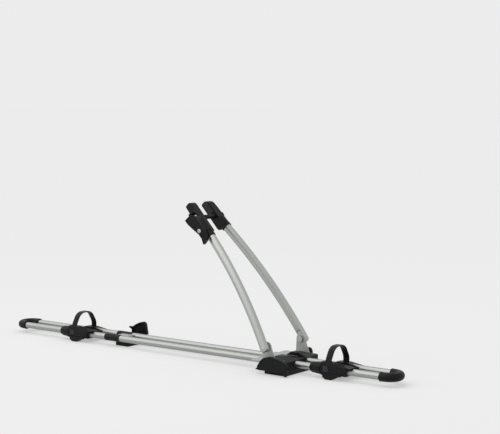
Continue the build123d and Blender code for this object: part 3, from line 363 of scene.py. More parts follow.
FINISHES: dict[Slot, Finish] = {
    Slot.RAIL: AnodisedAluminium("anodised_aluminium_rail", "#a5a7a4", "#9d9f9c", 0.40),
    Slot.ARM: AnodisedAluminium("anodised_aluminium_arm", "#b4b6b2", "#acaeab", 0.38,
                                turn=ARM_TURN),
    Slot.YOKE: PowderCoat("powder_coated_steel", "#b0b2b0", "#a6a8a6", 0.48),
    Slot.BLACK: MouldedPlastic("moulded_black_nylon", "#121213", "#0e0e0f", 0.42,
                               wear="#2c2c2c"),
    Slot.CLAMP: MouldedPlastic("moulded_charcoal_nylon", "#161616", "#111111", 0.40,
                               wear="#303030"),
    Slot.BUTTON: MouldedPlastic("moulded_slate_plastic", "#363940", "#303339", 0.50,
                                wear="#565a60"),
    Slot.STRAP: MouldedPlastic("flexible_strap_plastic", "#101011", "#0c0c0d", 0.40,
                               wear="#262626"),
    Slot.RUBBER: MouldedRubber("moulded_rubber", "#1b1b1b", "#3a3a3a", 0.85),
    Slot.SCREW: PlatedMetal("zinc_plated_steel", "#b9bab8", "#a4a6a5", 0.32),
    Slot.LOCK: PlatedMetal("nickel_plated_lock", "#cfcfcd", "#b8b8b6", 0.22),
}

# CAD nodes in each material slot
NODE_SLOTS: dict[Slot, tuple[str, ...]] = {
    Slot.RAIL: ("rail_rear_near", "rail_rear_far", "rail_front_near", "rail_front_far"),
    Slot.ARM: ("arm_near", "arm_far"),
    Slot.YOKE: ("arm_yoke", "rear_foot_clip"),
    Slot.BLACK: ("coupler_near", "coupler_far", "end_loop_rear", "end_loop_front",
                 "front_foot_base", "front_foot_saddle", "front_foot_cover", "front_foot_lever",
                 "rear_foot_base", "rear_foot_lever",
                 "front_cradle", "front_twist_collar", "front_buckle_lever",
                 "rear_cradle", "rear_twist_collar", "rear_buckle_lever"),
    Slot.CLAMP: ("jaw_near", "jaw_far", "arm_collar", "clamp_sleeve", "clamp_lever",
                 "clamp_cap_nut"),
    Slot.BUTTON: ("front_release_button", "rear_release_button"),
    Slot.STRAP: ("front_strap", "rear_strap"),
    Slot.RUBBER: ("front_foot_pad", "rear_foot_pad", "jaw_pad_near", "jaw_pad_far"),
    Slot.SCREW: ("clamp_rod", "lever_pin", "jaw_screws_near", "jaw_screws_far",
                 "pivot_bolt_near", "pivot_bolt_far", "front_foot_screws", "rear_foot_screws",
                 "front_hinge_pins", "rear_hinge_pin", "front_t_bolts", "rear_t_bolt",
                 "front_buckle_pin", "rear_buckle_pin", "front_button_spring",
                 "rear_button_spring"),
    Slot.LOCK: ("lock_cylinder",),
}


@dataclass(frozen=True)
class RibRow:
    """Equal ribs in a row: the first one's middle and size, the step to the next, their count."""

    place: Triple
    size: Triple
    step: Triple
    count: int
    lean: float = 0.0
    soft: float = 0.4


@dataclass
class Bench:
    """Where pieces are modelled by hand, with Blender's own tools.

    Sizes are in millimetres and angles in degrees.
    """

    merge_reach: float = 0.001
    flat_angle: float = 0.5
    soft_angle: float = 38.0
    dome_angle: float = 25.0
    rib_angle: float = 50.0
    wall_angle: float = 50.0
    round_steps: int = 2
    band_sides: int = 48
    panel_slope: float = 0.3
    panel_facing: float = 0.985
    end_facing: float = 0.98
    corner_reach: float = 0.3
    hoop_soft: float = 0.7

    def close(self) -> None:
        """Leave edit mode."""
        if bpy.context.object and bpy.context.object.mode != "OBJECT":
            bpy.ops.object.mode_set(mode="OBJECT")

    def clear(self) -> None:
        """Leave edit mode and let go of everything."""
        self.close()
        bpy.ops.object.select_all(action="DESELECT")

    def take(self, piece: Piece) -> None:
        """Make one piece the selected and active one."""
        self.clear()
        piece.select_set(True)
        bpy.context.view_layer.objects.active = piece

    def open(self, piece: Piece) -> None:
        """Take a piece into edit mode with all of it selected."""
        self.take(piece)
        bpy.ops.object.mode_set(mode="EDIT")
        bpy.ops.mesh.select_all(action="SELECT")

    def pick(self, piece: Piece, kind: str, wanted: Callable[[Any], bool]) -> None:
        """Select the vertices or faces that pass a test, in edit mode.

        Args:
            piece: the piece, in either mode.
            kind: VERT or FACE.
            wanted: the test.
        """
        self.open(piece)
        bpy.ops.mesh.select_mode(type=kind)
        bpy.ops.mesh.select_all(action="DESELECT")
        self.close()
        for part in piece.data.vertices if kind == "VERT" else piece.data.polygons:
            part.select = wanted(part)
        bpy.ops.object.mode_set(mode="EDIT")

    def extrude(self, way: Point) -> None:
        """Extrude what is selected."""
        bpy.ops.mesh.extrude_region_move(TRANSFORM_OT_translate={"value": Vector(way) * MM})

    def modify(self, piece: Piece, kind: str, **settings: Any) -> None:
        """Put a modifier on a piece and apply it.

        Args:
            piece: the piece to change.
            kind: the modifier's type.
            settings: the modifier's own values, with lengths in metres.
        """
        self.take(piece)
        modifier = piece.modifiers.new(kind, kind)
        for key, value in settings.items():
            setattr(modifier, key, value)
        bpy.ops.object.modifier_apply(modifier=modifier.name)

    def smooth(self, piece: Piece, below: float) -> None:
        """Smooth the edges under an angle, so that only the roundings are soft."""
        self.take(piece)
        bpy.ops.object.shade_smooth_by_angle(angle=math.radians(below))
        self.modify(piece, "WEIGHTED_NORMAL", keep_sharp=True)

    def settle(self, name: str) -> Piece:
        """Name the new primitive and put its place and turn into its mesh.

        Args:
            name: its name.

        Returns:
            The primitive, in object mode.
        """
        piece = bpy.context.object
        piece.name = name
        bpy.ops.object.transform_apply(location=True, rotation=True, scale=True)
        return piece

    def solid_copy(self, node: Piece, name: str, whole: bool = True) -> Piece:
        """A merged copy of a CAD solid, to carve and round off.

        Args:
            node: the CAD node's object, which is left alone.
            name: the new piece's name.
            whole: whether the triangles of a flat face become one face.

        Returns:
            The copy, in object mode.
        """
        piece = bpy.data.objects.new(name, node.data.copy())
        bpy.context.scene.collection.objects.link(piece)
        self.open(piece)
        bpy.ops.mesh.remove_doubles(threshold=self.merge_reach * MM)
        if whole:
            bpy.ops.mesh.dissolve_limited(angle_limit=math.radians(self.flat_angle))
        self.close()
        return piece

    def round_off(self, piece: Piece, radius: float, sharper_than: float = 32.0) -> None:
        """Round every edge that is sharper than an angle and smooth the rest.

        Args:
            piece: the piece to round.
            radius: how far the rounding reaches in.
            sharper_than: smallest angle, in degrees, that counts as an edge.
        """
        self.modify(piece, "BEVEL", width=radius * MM, segments=self.round_steps,
                    limit_method="ANGLE", angle_limit=math.radians(sharper_than))
        self.smooth(piece, self.soft_angle)

    def recess(self, piece: Piece, look: Point, rim: float, depth: float) -> None:
        """Sink a panel into the largest face that looks one way, inside a rim.

        Args:
            piece: the piece to carve.
            look: direction that the face looks in.
            rim: width of the rim that stays.
            depth: how deep the panel lies.
        """
        toward = Vector(look).normalized()
        facing = [face for face in piece.data.polygons
                  if face.normal.dot(toward) > self.panel_facing]
        largest = max(facing, key=lambda face: face.area).index
        self.pick(piece, "FACE", lambda face: face.index == largest)
        bpy.ops.mesh.inset(thickness=rim * MM, depth=0.0)
        bpy.ops.mesh.inset(thickness=self.panel_slope * MM, depth=-depth * MM)
        self.close()

    def stretch_end(self, piece: Piece, look: Point, length: float) -> None:
        """Extrude the end faces that look one way.

        Args:
            piece: the piece to lengthen.
            look: direction that the end looks in.
            length: how much longer it gets.
        """
        toward = Vector(look).normalized()
        self.pick(piece, "FACE", lambda face: face.normal.dot(toward) > self.end_facing)
        self.extrude(toward * length)
        self.close()

    def dome(self, piece: Piece, centre: Point, stem: Pair, offset: float, depth: float,
             steps: int) -> None:
        """Cut an arm off below its bolt hole and close it with a dome.

        Args:
            piece: the arm.
            centre: the middle of its eye.
            stem: from where to where the arm is straight, counted from the eye.
            offset: how far below the middle it is cut.
            depth: how deep the dome is.
            steps: rings in the dome.
        """
        middle = Vector(centre) * MM
        near = [point.co - middle for point in piece.data.vertices
                if stem[0] * MM < (point.co - middle).length < stem[1] * MM]
        up = (sum(near, Vector()) / len(near)).normalized()
        cut = middle - up * offset * MM
        self.open(piece)
        bpy.ops.mesh.select_mode(type="EDGE")
        bpy.ops.mesh.bisect(plane_co=cut, plane_no=up, clear_inner=True)
        turned = [math.pi / 2 * step / steps for step in range(steps + 1)]
        for here, there in zip(turned, turned[1:-1]):
            self.extrude(-up * depth * (math.sin(there) - math.sin(here)))
            share = math.cos(there) / math.cos(here)
            bpy.ops.transform.resize(value=(share, share, share),
                                     center_override=cut - up * depth * math.sin(there) * MM)
        self.extrude(-up * depth * (1 - math.sin(turned[-2])))
        bpy.ops.mesh.merge(type="CENTER")
        bpy.ops.mesh.select_all(action="SELECT")
        bpy.ops.mesh.normals_make_consistent(inside=False)
        self.smooth(piece, self.dome_angle)

    def bar(self, name: str, centre: Point, size: Point, turn: Point = UPRIGHT,
            soft: float = 0.4) -> Piece:
        """A moulded rib: a block with its edges bevelled.

        Args:
            name: the rib's name.
            centre: its middle.
            size: its length along each axis before it is turned.
            turn: rotation in radians.
            soft: how far the bevel reaches in.

        Returns:
            The rib, in object mode.
        """
        self.clear()
        bpy.ops.mesh.primitive_cube_add(size=1.0, location=Vector(centre) * MM, rotation=turn,
                                        scale=Vector(size) * MM)
        rib = self.settle(name)
        self.open(rib)
        bpy.ops.mesh.bevel(offset=soft * MM, segments=self.round_steps)
        self.close()
        bpy.ops.object.shade_smooth_by_angle(angle=math.radians(self.rib_angle))
        return rib

    def row(self, piece: Piece, step: Point, count: int) -> None:
        """Copy a rib's mesh until it is a row.

        Args:
            piece: the first rib.
            step: from one rib to the next.
            count: ribs in all.
        """
        self.open(piece)
        for _ in range(count - 1):
            bpy.ops.mesh.duplicate_move(TRANSFORM_OT_translate={"value": Vector(step) * MM})
        self.close()

    def ribs(self, name: str, first: Point, row: RibRow) -> Piece:
        """Make a row of ribs.

        Args:
            name: the row's name.
            first: the middle of the first rib.
            row: sizes of the ribs.

        Returns:
            The row as one piece.
        """
        rib = self.bar(name, first, row.size, (0.0, math.radians(row.lean), 0.0), row.soft)
        self.row(rib, row.step, row.count)
        return rib

    def ring_row(self, piece: Piece, centre: Point, count: int) -> None:
        """Copy a rib's mesh round a line along X.

        Args:
            piece: the first rib.
            centre: a point on the line.
            count: ribs in the whole ring.
        """
        self.open(piece)
        for _ in range(count - 1):
            bpy.ops.mesh.duplicate()
            bpy.ops.transform.rotate(value=math.tau / count, orient_axis="X",
                                     center_override=Vector(centre) * MM)
        self.close()

    def trace(self, name: str, line: Sequence[Vector], closed: bool = False) -> Piece:
        """Draw an outline by extruding one vertex from point to point.

        Args:
            name: the new piece's name.
            line: the outline's points.
            closed: whether its ends are joined and the outline filled.

        Returns:
            The piece, in edit mode with everything selected.
        """
        self.clear()
        bpy.ops.mesh.primitive_plane_add(size=MM, location=line[0] * MM)
        piece = self.settle(name)
        bpy.ops.object.mode_set(mode="EDIT")
        bpy.ops.mesh.select_mode(type="VERT")
        bpy.ops.mesh.select_all(action="SELECT")
        bpy.ops.mesh.merge(type="CENTER")
        for here, there in zip(line, line[1:]):
            self.extrude(there - here)
        bpy.ops.mesh.select_all(action="SELECT")
        if closed:
            bpy.ops.mesh.edge_face_add()
        return piece

    def soften(self, piece: Piece, corners: Sequence[Vector], reach: float,
               segments: int = 8) -> None:
        """Round some corners of a traced outline.

        Args:
            piece: the outline, in edit mode.
            corners: the corners to round.
            reach: how far from a corner the rounding starts.
            segments: edges in each rounding.
        """
        close = self.corner_reach * MM
        self.pick(piece, "VERT", lambda point: any((point.co - corner * MM).length < close
                                                   for corner in corners))
        bpy.ops.mesh.bevel(offset=reach * MM, segments=segments, affect="VERTICES",
                           clamp_overlap=True)
        bpy.ops.mesh.select_all(action="SELECT")

    def thicken(self, piece: Piece, wall: float, offset: float, soft: float) -> None:
        """Turn a sheet into a wall with rounded edges.

        Args:
            piece: the sheet, in edit mode.
            wall: thickness of the wall.
            offset: -1 to grow it behind the sheet, 0 both ways, 1 in front of it.
            soft: rounding of its edges.
        """
        bpy.ops.mesh.select_all(action="SELECT")
        bpy.ops.mesh.normals_make_consistent(inside=False)
        self.modify(piece, "SOLIDIFY", thickness=wall * MM, offset=offset, use_even_offset=True)
        self.round_off(piece, soft, self.wall_angle)

    def hoop(self, name: str, line: Sequence[Vector], corners: Sequence[Vector], reach: float,
             drop: Point, wall: float) -> Piece:
        """A raised rim round an outline.

        Args:
            name: the rim's name.
            line: the outline's corners.
            corners: those of them that are rounded.
            reach: how far from a corner the rounding starts.
            drop: from the rim's top down to its foot.
            wall: how wide the rim is.

        Returns:
            The rim, in object mode.
        """
        rim = self.trace(name, line, closed=True)
        self.soften(rim, corners, reach)
        self.extrude(drop)
        bpy.ops.mesh.select_mode(type="FACE")
        bpy.ops.mesh.select_all(action="DESELECT")
        bpy.ops.mesh.select_face_by_sides(number=4, type="GREATER")
        bpy.ops.mesh.delete(type="ONLY_FACE")
        self.thicken(rim, wall, -1.0, self.hoop_soft)
        return rim

    def band(self, name: str, centre: Point, radius: float, length: float, turn: Point,
             soft: float = 0.6) -> Piece:
        """A turned band or head: a short cylinder with softened rims.

        Args:
            name: the band's name.
            centre: its middle.
            radius: its outer radius.
            length: how long it is on its axis.
            turn: rotation in radians that lays its axis right.
            soft: how far the rims are bevelled.

        Returns:
            The band, in object mode.
        """
        self.clear()
        bpy.ops.mesh.primitive_cylinder_add(
            vertices=self.band_sides, radius=radius * MM, depth=length * MM,
            location=Vector(centre) * MM, rotation=turn)
        piece = self.settle(name)
        by_area = sorted(piece.data.polygons, key=lambda face: face.area)
        ends = [face.index for face in by_area[-2:]]
        self.pick(piece, "FACE", lambda face: face.index in ends)
        bpy.ops.mesh.inset(thickness=soft * MM, depth=0.0, use_individual=True)
        self.round_off(piece, soft)
        return piece

    def join(self, pieces: Sequence[Piece]) -> Piece:
        """Join pieces into the first one.

        Args:
            pieces: the pieces, all in object mode.

        Returns:
            The first piece, with the others in it.
        """
        self.clear()
        for piece in pieces:
            piece.select_set(True)
        bpy.context.view_layer.objects.active = pieces[0]
        bpy.ops.object.join()
        return pieces[0]


class PaintShop:
    """Makes each finish once and puts it on pieces."""

    def __init__(self) -> None:
        """Start with nothing mixed."""
        self.mixed: dict[Slot, bpy.types.Material] = {}

    def dress(self, piece: Piece, slot: Slot) -> None:
        """Put a slot's material all over a piece.

        Args:
            piece: a CAD node's object or a new piece.
            slot: the material slot it takes its finish from.
        """
        if slot not in self.mixed:
            self.mixed[slot] = FINISHES[slot].material()
        if not piece.material_slots:
            piece.data.materials.append(None)
        for place in piece.material_slots:
            place.material = self.mixed[slot]

    def dress_nodes(self, nodes: dict[str, Piece]) -> None:
        """Dress every CAD node.

        Args:
            nodes: the frame's nodes by name.
        """
        for slot, names in NODE_SLOTS.items():
            for name in names:
                self.dress(nodes[name], slot)


@dataclass
class Workshop:
    """What every sub-assembly works with: the CAD nodes, the bench and the paint."""

    nodes: dict[str, Piece]
    bench: Bench
    paint: PaintShop

    def hand_over(self, piece: Piece, slot: Slot, body: str, *replaced: str) -> None:
        """Dress a finished piece, tie it to its body and report it.

        Args:
            piece: the piece, with its place in its mesh.
            slot: the material slot it takes its finish from.
            body: the body it moves with.
            replaced: CAD nodes that it stands for.
        """
        self.paint.dress(piece, slot)
        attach(piece, body)
        if replaced:
            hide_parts(*replaced)
        log.info("%s: %d faces on %s", piece.name, len(piece.data.polygons), body)

    def moulding(self, node: str, slot: Slot, body: str, radius: float, *ribs: Piece,
                 sharper_than: float = 32.0, panel: tuple | None = None) -> None:
        """Round a copy of a CAD solid, add its ribs and hand it over.

        Args:
            node: the CAD node that it stands for.
            slot: the material slot it takes its finish from.
            body: the body it moves with.
            radius: rounding of its edges.
            ribs: ready ribs that become part of it.
            sharper_than: smallest angle, in degrees, that is rounded.
            panel: a sunk panel, as the way it looks, its rim and its depth.
        """
        piece = self.bench.solid_copy(self.nodes[node], node + "_moulding")
        if panel:
            self.bench.recess(piece, *panel)
        self.bench.round_off(piece, radius, sharper_than)
        if ribs:
            piece = self.bench.join([piece, *ribs])
        self.hand_over(piece, slot, body, node)


@dataclass
class WheelHolder:
    """Sliding wheel holder: cradle with its channel, twist collar, ladder strap and buckle."""

    prefix: str
    start: float
    wheel_place: float = 63.6
    wheel_radius: float = 333.5
    strap_middle: float = 68.5
    strap_width: float = 20.0
    strap_thickness: float = 3.0
    strap_line: tuple[Pair, ...] = ((-45.0, 14.0), (-45.0, 28.0), (-24.0, 64.0), (24.0, 64.0),
                                    (45.0, 28.0), (45.0, -2.0))
    strap_soft: float = 0.7
    shoulder_reach: float = 7.0
    top_reach: float = 16.0
    top_segments: int = 12
    tooth_start: float = 5.5
    tooth_proud: float = 0.2
    tooth_margin: float = 6.0
    tooth_section: Pair = (1.4, 2.2)
    tooth_pitch: float = 4.5
    tooth_count: int = 6
    rivet_place: Pair = (47.6, 16.0)
    rivet_radius: float = 3.4
    rivet_height: float = 1.8
    collar_length: float = 39.0
    collar_radii: Pair = (13.75, 18.0)
    collar_ribs: int = 12
    collar_rib_margin: float = 12.0
    collar_rib_section: Pair = (2.2, 1.6)
    collar_rib_proud: float = 0.1
    thumb_ridges: RibRow = RibRow((88.0, -39.5, 22.9), (1.8, 12.0, 1.4), (6.0, 0.0, -1.09), 6,
                                  10.3)
    channel_ribs: RibRow = RibRow((49.0, 0.0, -9.5), (2.0, 25.0, 2.0), (10.0, 0.0, 0.0), 7)
    finger_ribs: RibRow = RibRow((72.0, -49.6, -17.5), (24.0, 1.2, 1.3), (0.0, 0.0, -2.6), 3)
    button_ribs: RibRow = RibRow((56.0, -50.5, 3.0), (1.2, 0.9, 11.0), (3.0, 0.0, 0.0), 4,
                                 soft=0.3)

    def build(self, shop: Workshop) -> None:
        """Make all its pieces."""
        self.strap(shop)
        self.cradle(shop)
        self.collar(shop)
        self.buckle(shop)
        self.button(shop)

    def at(self, along: float, y: float, level: float) -> Vector:
        """A point of the holder, from its rear end and the rails' axis."""
        return Vector((self.start + along, y, RAIL_HEIGHT + level))

    def strap(self, shop: Workshop) -> None:
        """Ladder strap: a folded band with rounded bends, toothed on its near leg."""
        bench = shop.bench
        edge = self.strap_middle - self.strap_width / 2
        line = [self.at(edge, y, level) for y, level in self.strap_line]
        band = bench.trace(self.prefix + "_ladder_strap", line)
        # Tight bends at the shoulders, wide ones at the top
        bench.soften(band, (line[1], line[4]), self.shoulder_reach)
        bench.soften(band, line[2:4], self.top_reach, self.top_segments)
        bench.extrude((self.strap_width, 0.0, 0.0))
        bench.thicken(band, self.strap_thickness, 0.0, self.strap_soft)
        # Teeth up the slanted part of the near leg
        low, high = (self.at(self.strap_middle, *place) for place in self.strap_line[1:3])
        up = (high - low).normalized()
        out = Vector((0, -up.z, up.y))
        lean = math.atan2(up.y, up.z)
        first = low + up * self.tooth_start + out * (self.strap_thickness / 2 + self.tooth_proud)
        tooth = bench.bar("tooth", first, (self.strap_width - self.tooth_margin,
                                           *self.tooth_section), (-lean, 0.0, 0.0))
        bench.row(tooth, up * self.tooth_pitch, self.tooth_count)
        rivet = bench.band("rivet", self.at(self.strap_middle, *self.rivet_place),
                           self.rivet_radius, self.rivet_height, ALONG_Y, 0.5)
        strap = bench.join([band, tooth, rivet])
        shop.hand_over(strap, Slot.STRAP, self.prefix + "_holder", self.prefix + "_strap")

    def cradle(self, shop: Workshop) -> None:
        """Cradle: rounded housing, thumb ridges on its tongue and ribs in the channel."""
        ridges, row = self.thumb_ridges, self.channel_ribs
        made = [shop.bench.ribs("thumb_ridge", self.at(*ridges.place), ridges)]
        for number in range(row.count):
            along = row.place[0] + number * row.step[0]
            # The channel's floor follows the tyre
            rise = (along - self.wheel_place) ** 2 / (2 * self.wheel_radius)
            place = self.at(along, row.place[1], row.place[2] + rise)
            made.append(shop.bench.bar("channel_rib", place, row.size))
        shop.moulding(self.prefix + "_cradle", Slot.BLACK, self.prefix + "_holder", 0.9, *made)

    def collar(self, shop: Workshop) -> None:
        """Twist collar: a cone with grip ribs round it."""
        small, large = self.collar_radii
        slope = math.atan2(large - small, self.collar_length)
        middle = (small + large) / 2 + self.collar_rib_proud
        rib = shop.bench.bar("grip_rib", self.at(self.collar_length / 2, -RAIL_Y, middle),
                             (self.collar_length - self.collar_rib_margin,
                              *self.collar_rib_section), (0.0, -slope, 0.0), 0.5)
        shop.bench.ring_row(rib, self.at(0.0, -RAIL_Y, 0.0), self.collar_ribs)
        shop.moulding(self.prefix + "_twist_collar", Slot.BLACK, self.prefix + "_collar", 0.9, rib)

    def buckle(self, shop: Workshop) -> None:
        """Buckle lever: rounded, with finger ribs on its near face."""
        rib = shop.bench.ribs("finger_rib", self.at(*self.finger_ribs.place), self.finger_ribs)
        shop.moulding(self.prefix + "_buckle_lever", Slot.BLACK, self.prefix + "_buckle", 1.1, rib)

    def button(self, shop: Workshop) -> None:
        """Release button: slate cap with upright grip ribs."""
        rib = shop.bench.ribs("button_rib", self.at(*self.button_ribs.place), self.button_ribs)
        shop.moulding(self.prefix + "_release_button", Slot.BUTTON, self.prefix + "_button", 0.4,
                      rib)


@dataclass
class Rails:
    """Rail tubes with their joiners and the two end loops."""

    loop_mouth: float = 692.0
    bead_place: float = 2.2
    bead_radius: float = 13.5
    bead_length: float = 4.4

    def build(self, shop: Workshop) -> None:
        """Add a moulded bead round each mouth of the loops, and round the joiners."""
        beads = []
        for end in (-1, 1):
            for side in (NEAR, FAR):
                place = (end * (self.loop_mouth + self.bead_place), side * RAIL_Y, RAIL_HEIGHT)
                beads.append(shop.bench.band("loop_bead", place, self.bead_radius,
                                             self.bead_length, ALONG_X))
        shop.hand_over(shop.bench.join(beads), Slot.BLACK, "root")
        for node in ("coupler_near", "coupler_far"):
            shop.moulding(node, Slot.BLACK, "root", 0.5)


@dataclass
class FootShell:
    """Moulded cover or lever of a foot: a shell open behind, with a rim along its bow.

    Its outline is given as shares of its length and height, from its tip and its bottom.
    """

    node: str
    body: str
    shares: tuple[Pair, ...]
    bow: tuple[int, int]
    side: float
    inside: float
    tip: float
    bottom: float
    length: float
    height: float
    hinge: float
    thickness: float = 8.5
    wall: float = 2.2
    wall_soft: float = 0.9
    open_gap: float = 0.01
    bow_reach: float = 13.0
    tip_reach: float = 1.3
    tip_segments: int = 4
    rim_start: float = 0.4
    rim_wall: float = 3.0
    rim_proud: float = 1.4
    rim_soft: float = 1.0
    barrel_out: float = 4.5
    barrel_radius: float = 4.1
    barrel_length: float = 17.4

    def at(self, corner: Pair, out: float) -> Vector:
        """A point over the outline, from the shell's open side outwards."""
        return Vector((self.tip + corner[0] * self.length, self.side * (self.inside + out),
                       RAIL_HEIGHT + self.bottom + corner[1] * self.height))

    def build(self, shop: Workshop) -> None:
        """Trace the outline, raise wall and face, add rim and hinge barrel."""
        bench = shop.bench
        first, last = self.bow
        face = [self.at(corner, self.thickness) for corner in self.shares]
        plate = bench.trace(self.node + "_shell", face, closed=True)
        bench.soften(plate, face[first:last], self.bow_reach)
        bench.soften(plate, face[:first] + face[last:], self.tip_reach, self.tip_segments)
        # The wall runs round the outline, back from the face
        bench.extrude((0.0, -self.side * (self.thickness - self.open_gap), 0.0))
        bpy.ops.mesh.select_mode(type="FACE")
        bpy.ops.mesh.delete(type="ONLY_FACE")
        bench.thicken(plate, self.wall, -1.0, self.wall_soft)
        rim_line = [self.at(corner, self.rim_start) for corner in self.shares[first - 1:last + 1]]
        rim = bench.trace(self.node + "_rim", rim_line)
        bench.soften(rim, rim_line[1:-1], self.bow_reach)
        bench.extrude((0.0, self.side * (self.thickness + self.rim_proud - self.rim_start), 0.0))
        bench.thicken(rim, self.rim_wall, 0.0, self.rim_soft)
        barrel = bench.band(self.node + "_barrel",
                            (self.tip + self.hinge, self.side * (self.inside + self.barrel_out),
                             RAIL_HEIGHT + self.bottom + self.barrel_length / 2),
                            self.barrel_radius, self.barrel_length, UPRIGHT, 0.5)
        shop.hand_over(bench.join([plate, rim, barrel]), Slot.BLACK, self.body, self.node)


COVER_SHARES = ((0.0, 0.05), (0.07, 0.22), (0.15, 0.58), (0.26, 0.88), (0.465, 1.0),
                (0.7, 0.93), (0.91, 0.72), (1.0, 0.42), (0.975, 0.0), (0.12, 0.0))
BLADE_SHARES = ((0.029, 0.0), (0.0, 0.333), (0.039, 0.595), (0.126, 0.857), (0.252, 1.0),
                (0.631, 1.0), (0.864, 0.881), (0.981, 0.643), (1.0, 0.19), (0.835, 0.357),
                (0.68, 0.357), (0.505, 0.214), (0.223, 0.024))
LEVER_SHARES = ((0.0, 0.52), (0.19, 0.47), (0.4, 0.72), (0.6, 0.89), (0.82, 1.0),
                (0.92, 0.87), (1.0, 0.0), (0.15, 0.0), (0.15, 0.3), (0.0, 0.42))


def foot_lever(prefix: str, inside: float, tip: float, bottom: float) -> FootShell:
    """The cam lever on a foot's far side.

    Args:
        prefix: front or rear.
        inside: how far out its open side stands.
        tip: where it starts along the rails.
        bottom: its lowest level from the rails' axis.

    Returns:
        The lever, ready to build.
    """
    return FootShell(prefix + "_foot_lever", prefix + "_lever", LEVER_SHARES, (2, 6), FAR, inside,
                     tip, bottom, length=74.0, height=39.0, hinge=69.5, bow_reach=6.0)


@dataclass
class FrontFoot:
    """Front foot: saddle over the rails, D-shaped near cover, far lever and the yoke."""

    inside: float = 92.5
    cover_tip: float = 315.25
    cover_bottom: float = -15.0
    cover_length: float = 113.0
    cover_height: float = 40.9
    cover_hinge: float = 104.0
    lever_tip: float = 303.25
    lever_bottom: float = -14.5

    def build(self, shop: Workshop) -> None:
        """Make the cover and the lever, and round the mouldings between them."""
        FootShell("front_foot_cover", "front_cover", COVER_SHARES, (2, 8), NEAR, self.inside,
                  self.cover_tip, self.cover_bottom, self.cover_length, self.cover_height,
                  self.cover_hinge).build(shop)
        foot_lever("front", self.inside, self.lever_tip, self.lever_bottom).build(shop)
        shop.moulding("front_foot_saddle", Slot.BLACK, "root", 1.6, sharper_than=14.0)
        shop.moulding("front_foot_base", Slot.BLACK, "root", 0.8)
        shop.moulding("arm_yoke", Slot.YOKE, "root", 0.7)


@dataclass
class RearFoot:
    """Rear foot: base and clip under the far rail, with its tightening lever."""

    inside: float = 80.5
    lever_tip: float = -334.983
    lever_bottom: float = -2.0

    def build(self, shop: Workshop) -> None:
        """Make the lever and round the base and the clip."""
        foot_lever("rear", self.inside, self.lever_tip, self.lever_bottom).build(shop)
        shop.moulding("rear_foot_base", Slot.BLACK, "root", 0.8)
        shop.moulding("rear_foot_clip", Slot.YOKE, "root", 0.5)


@dataclass
class Arms:
    """The two bowed arms, each ending in a dome round its pivot."""

    pivot: Pair = (345.0, 78.5)
    pivot_y: float = 98.0
    stem: Pair = (25.0, 70.0)
    eye_offset: float = 6.0
    dome_depth: float = 8.5
    dome_steps: int = 6

    def build(self, shop: Workshop) -> None:
        """Close both eyes with domes."""
        for side, node, body in ((NEAR, "arm_near", "near_arm"), (FAR, "arm_far", "far_arm")):
            arm = shop.bench.solid_copy(shop.nodes[node], node + "_tube", whole=False)
            shop.bench.dome(arm, (self.pivot[0], side * self.pivot_y, self.pivot[1]), self.stem,
                            self.eye_offset, self.dome_depth, self.dome_steps)
            shop.hand_over(arm, Slot.ARM, body, node)


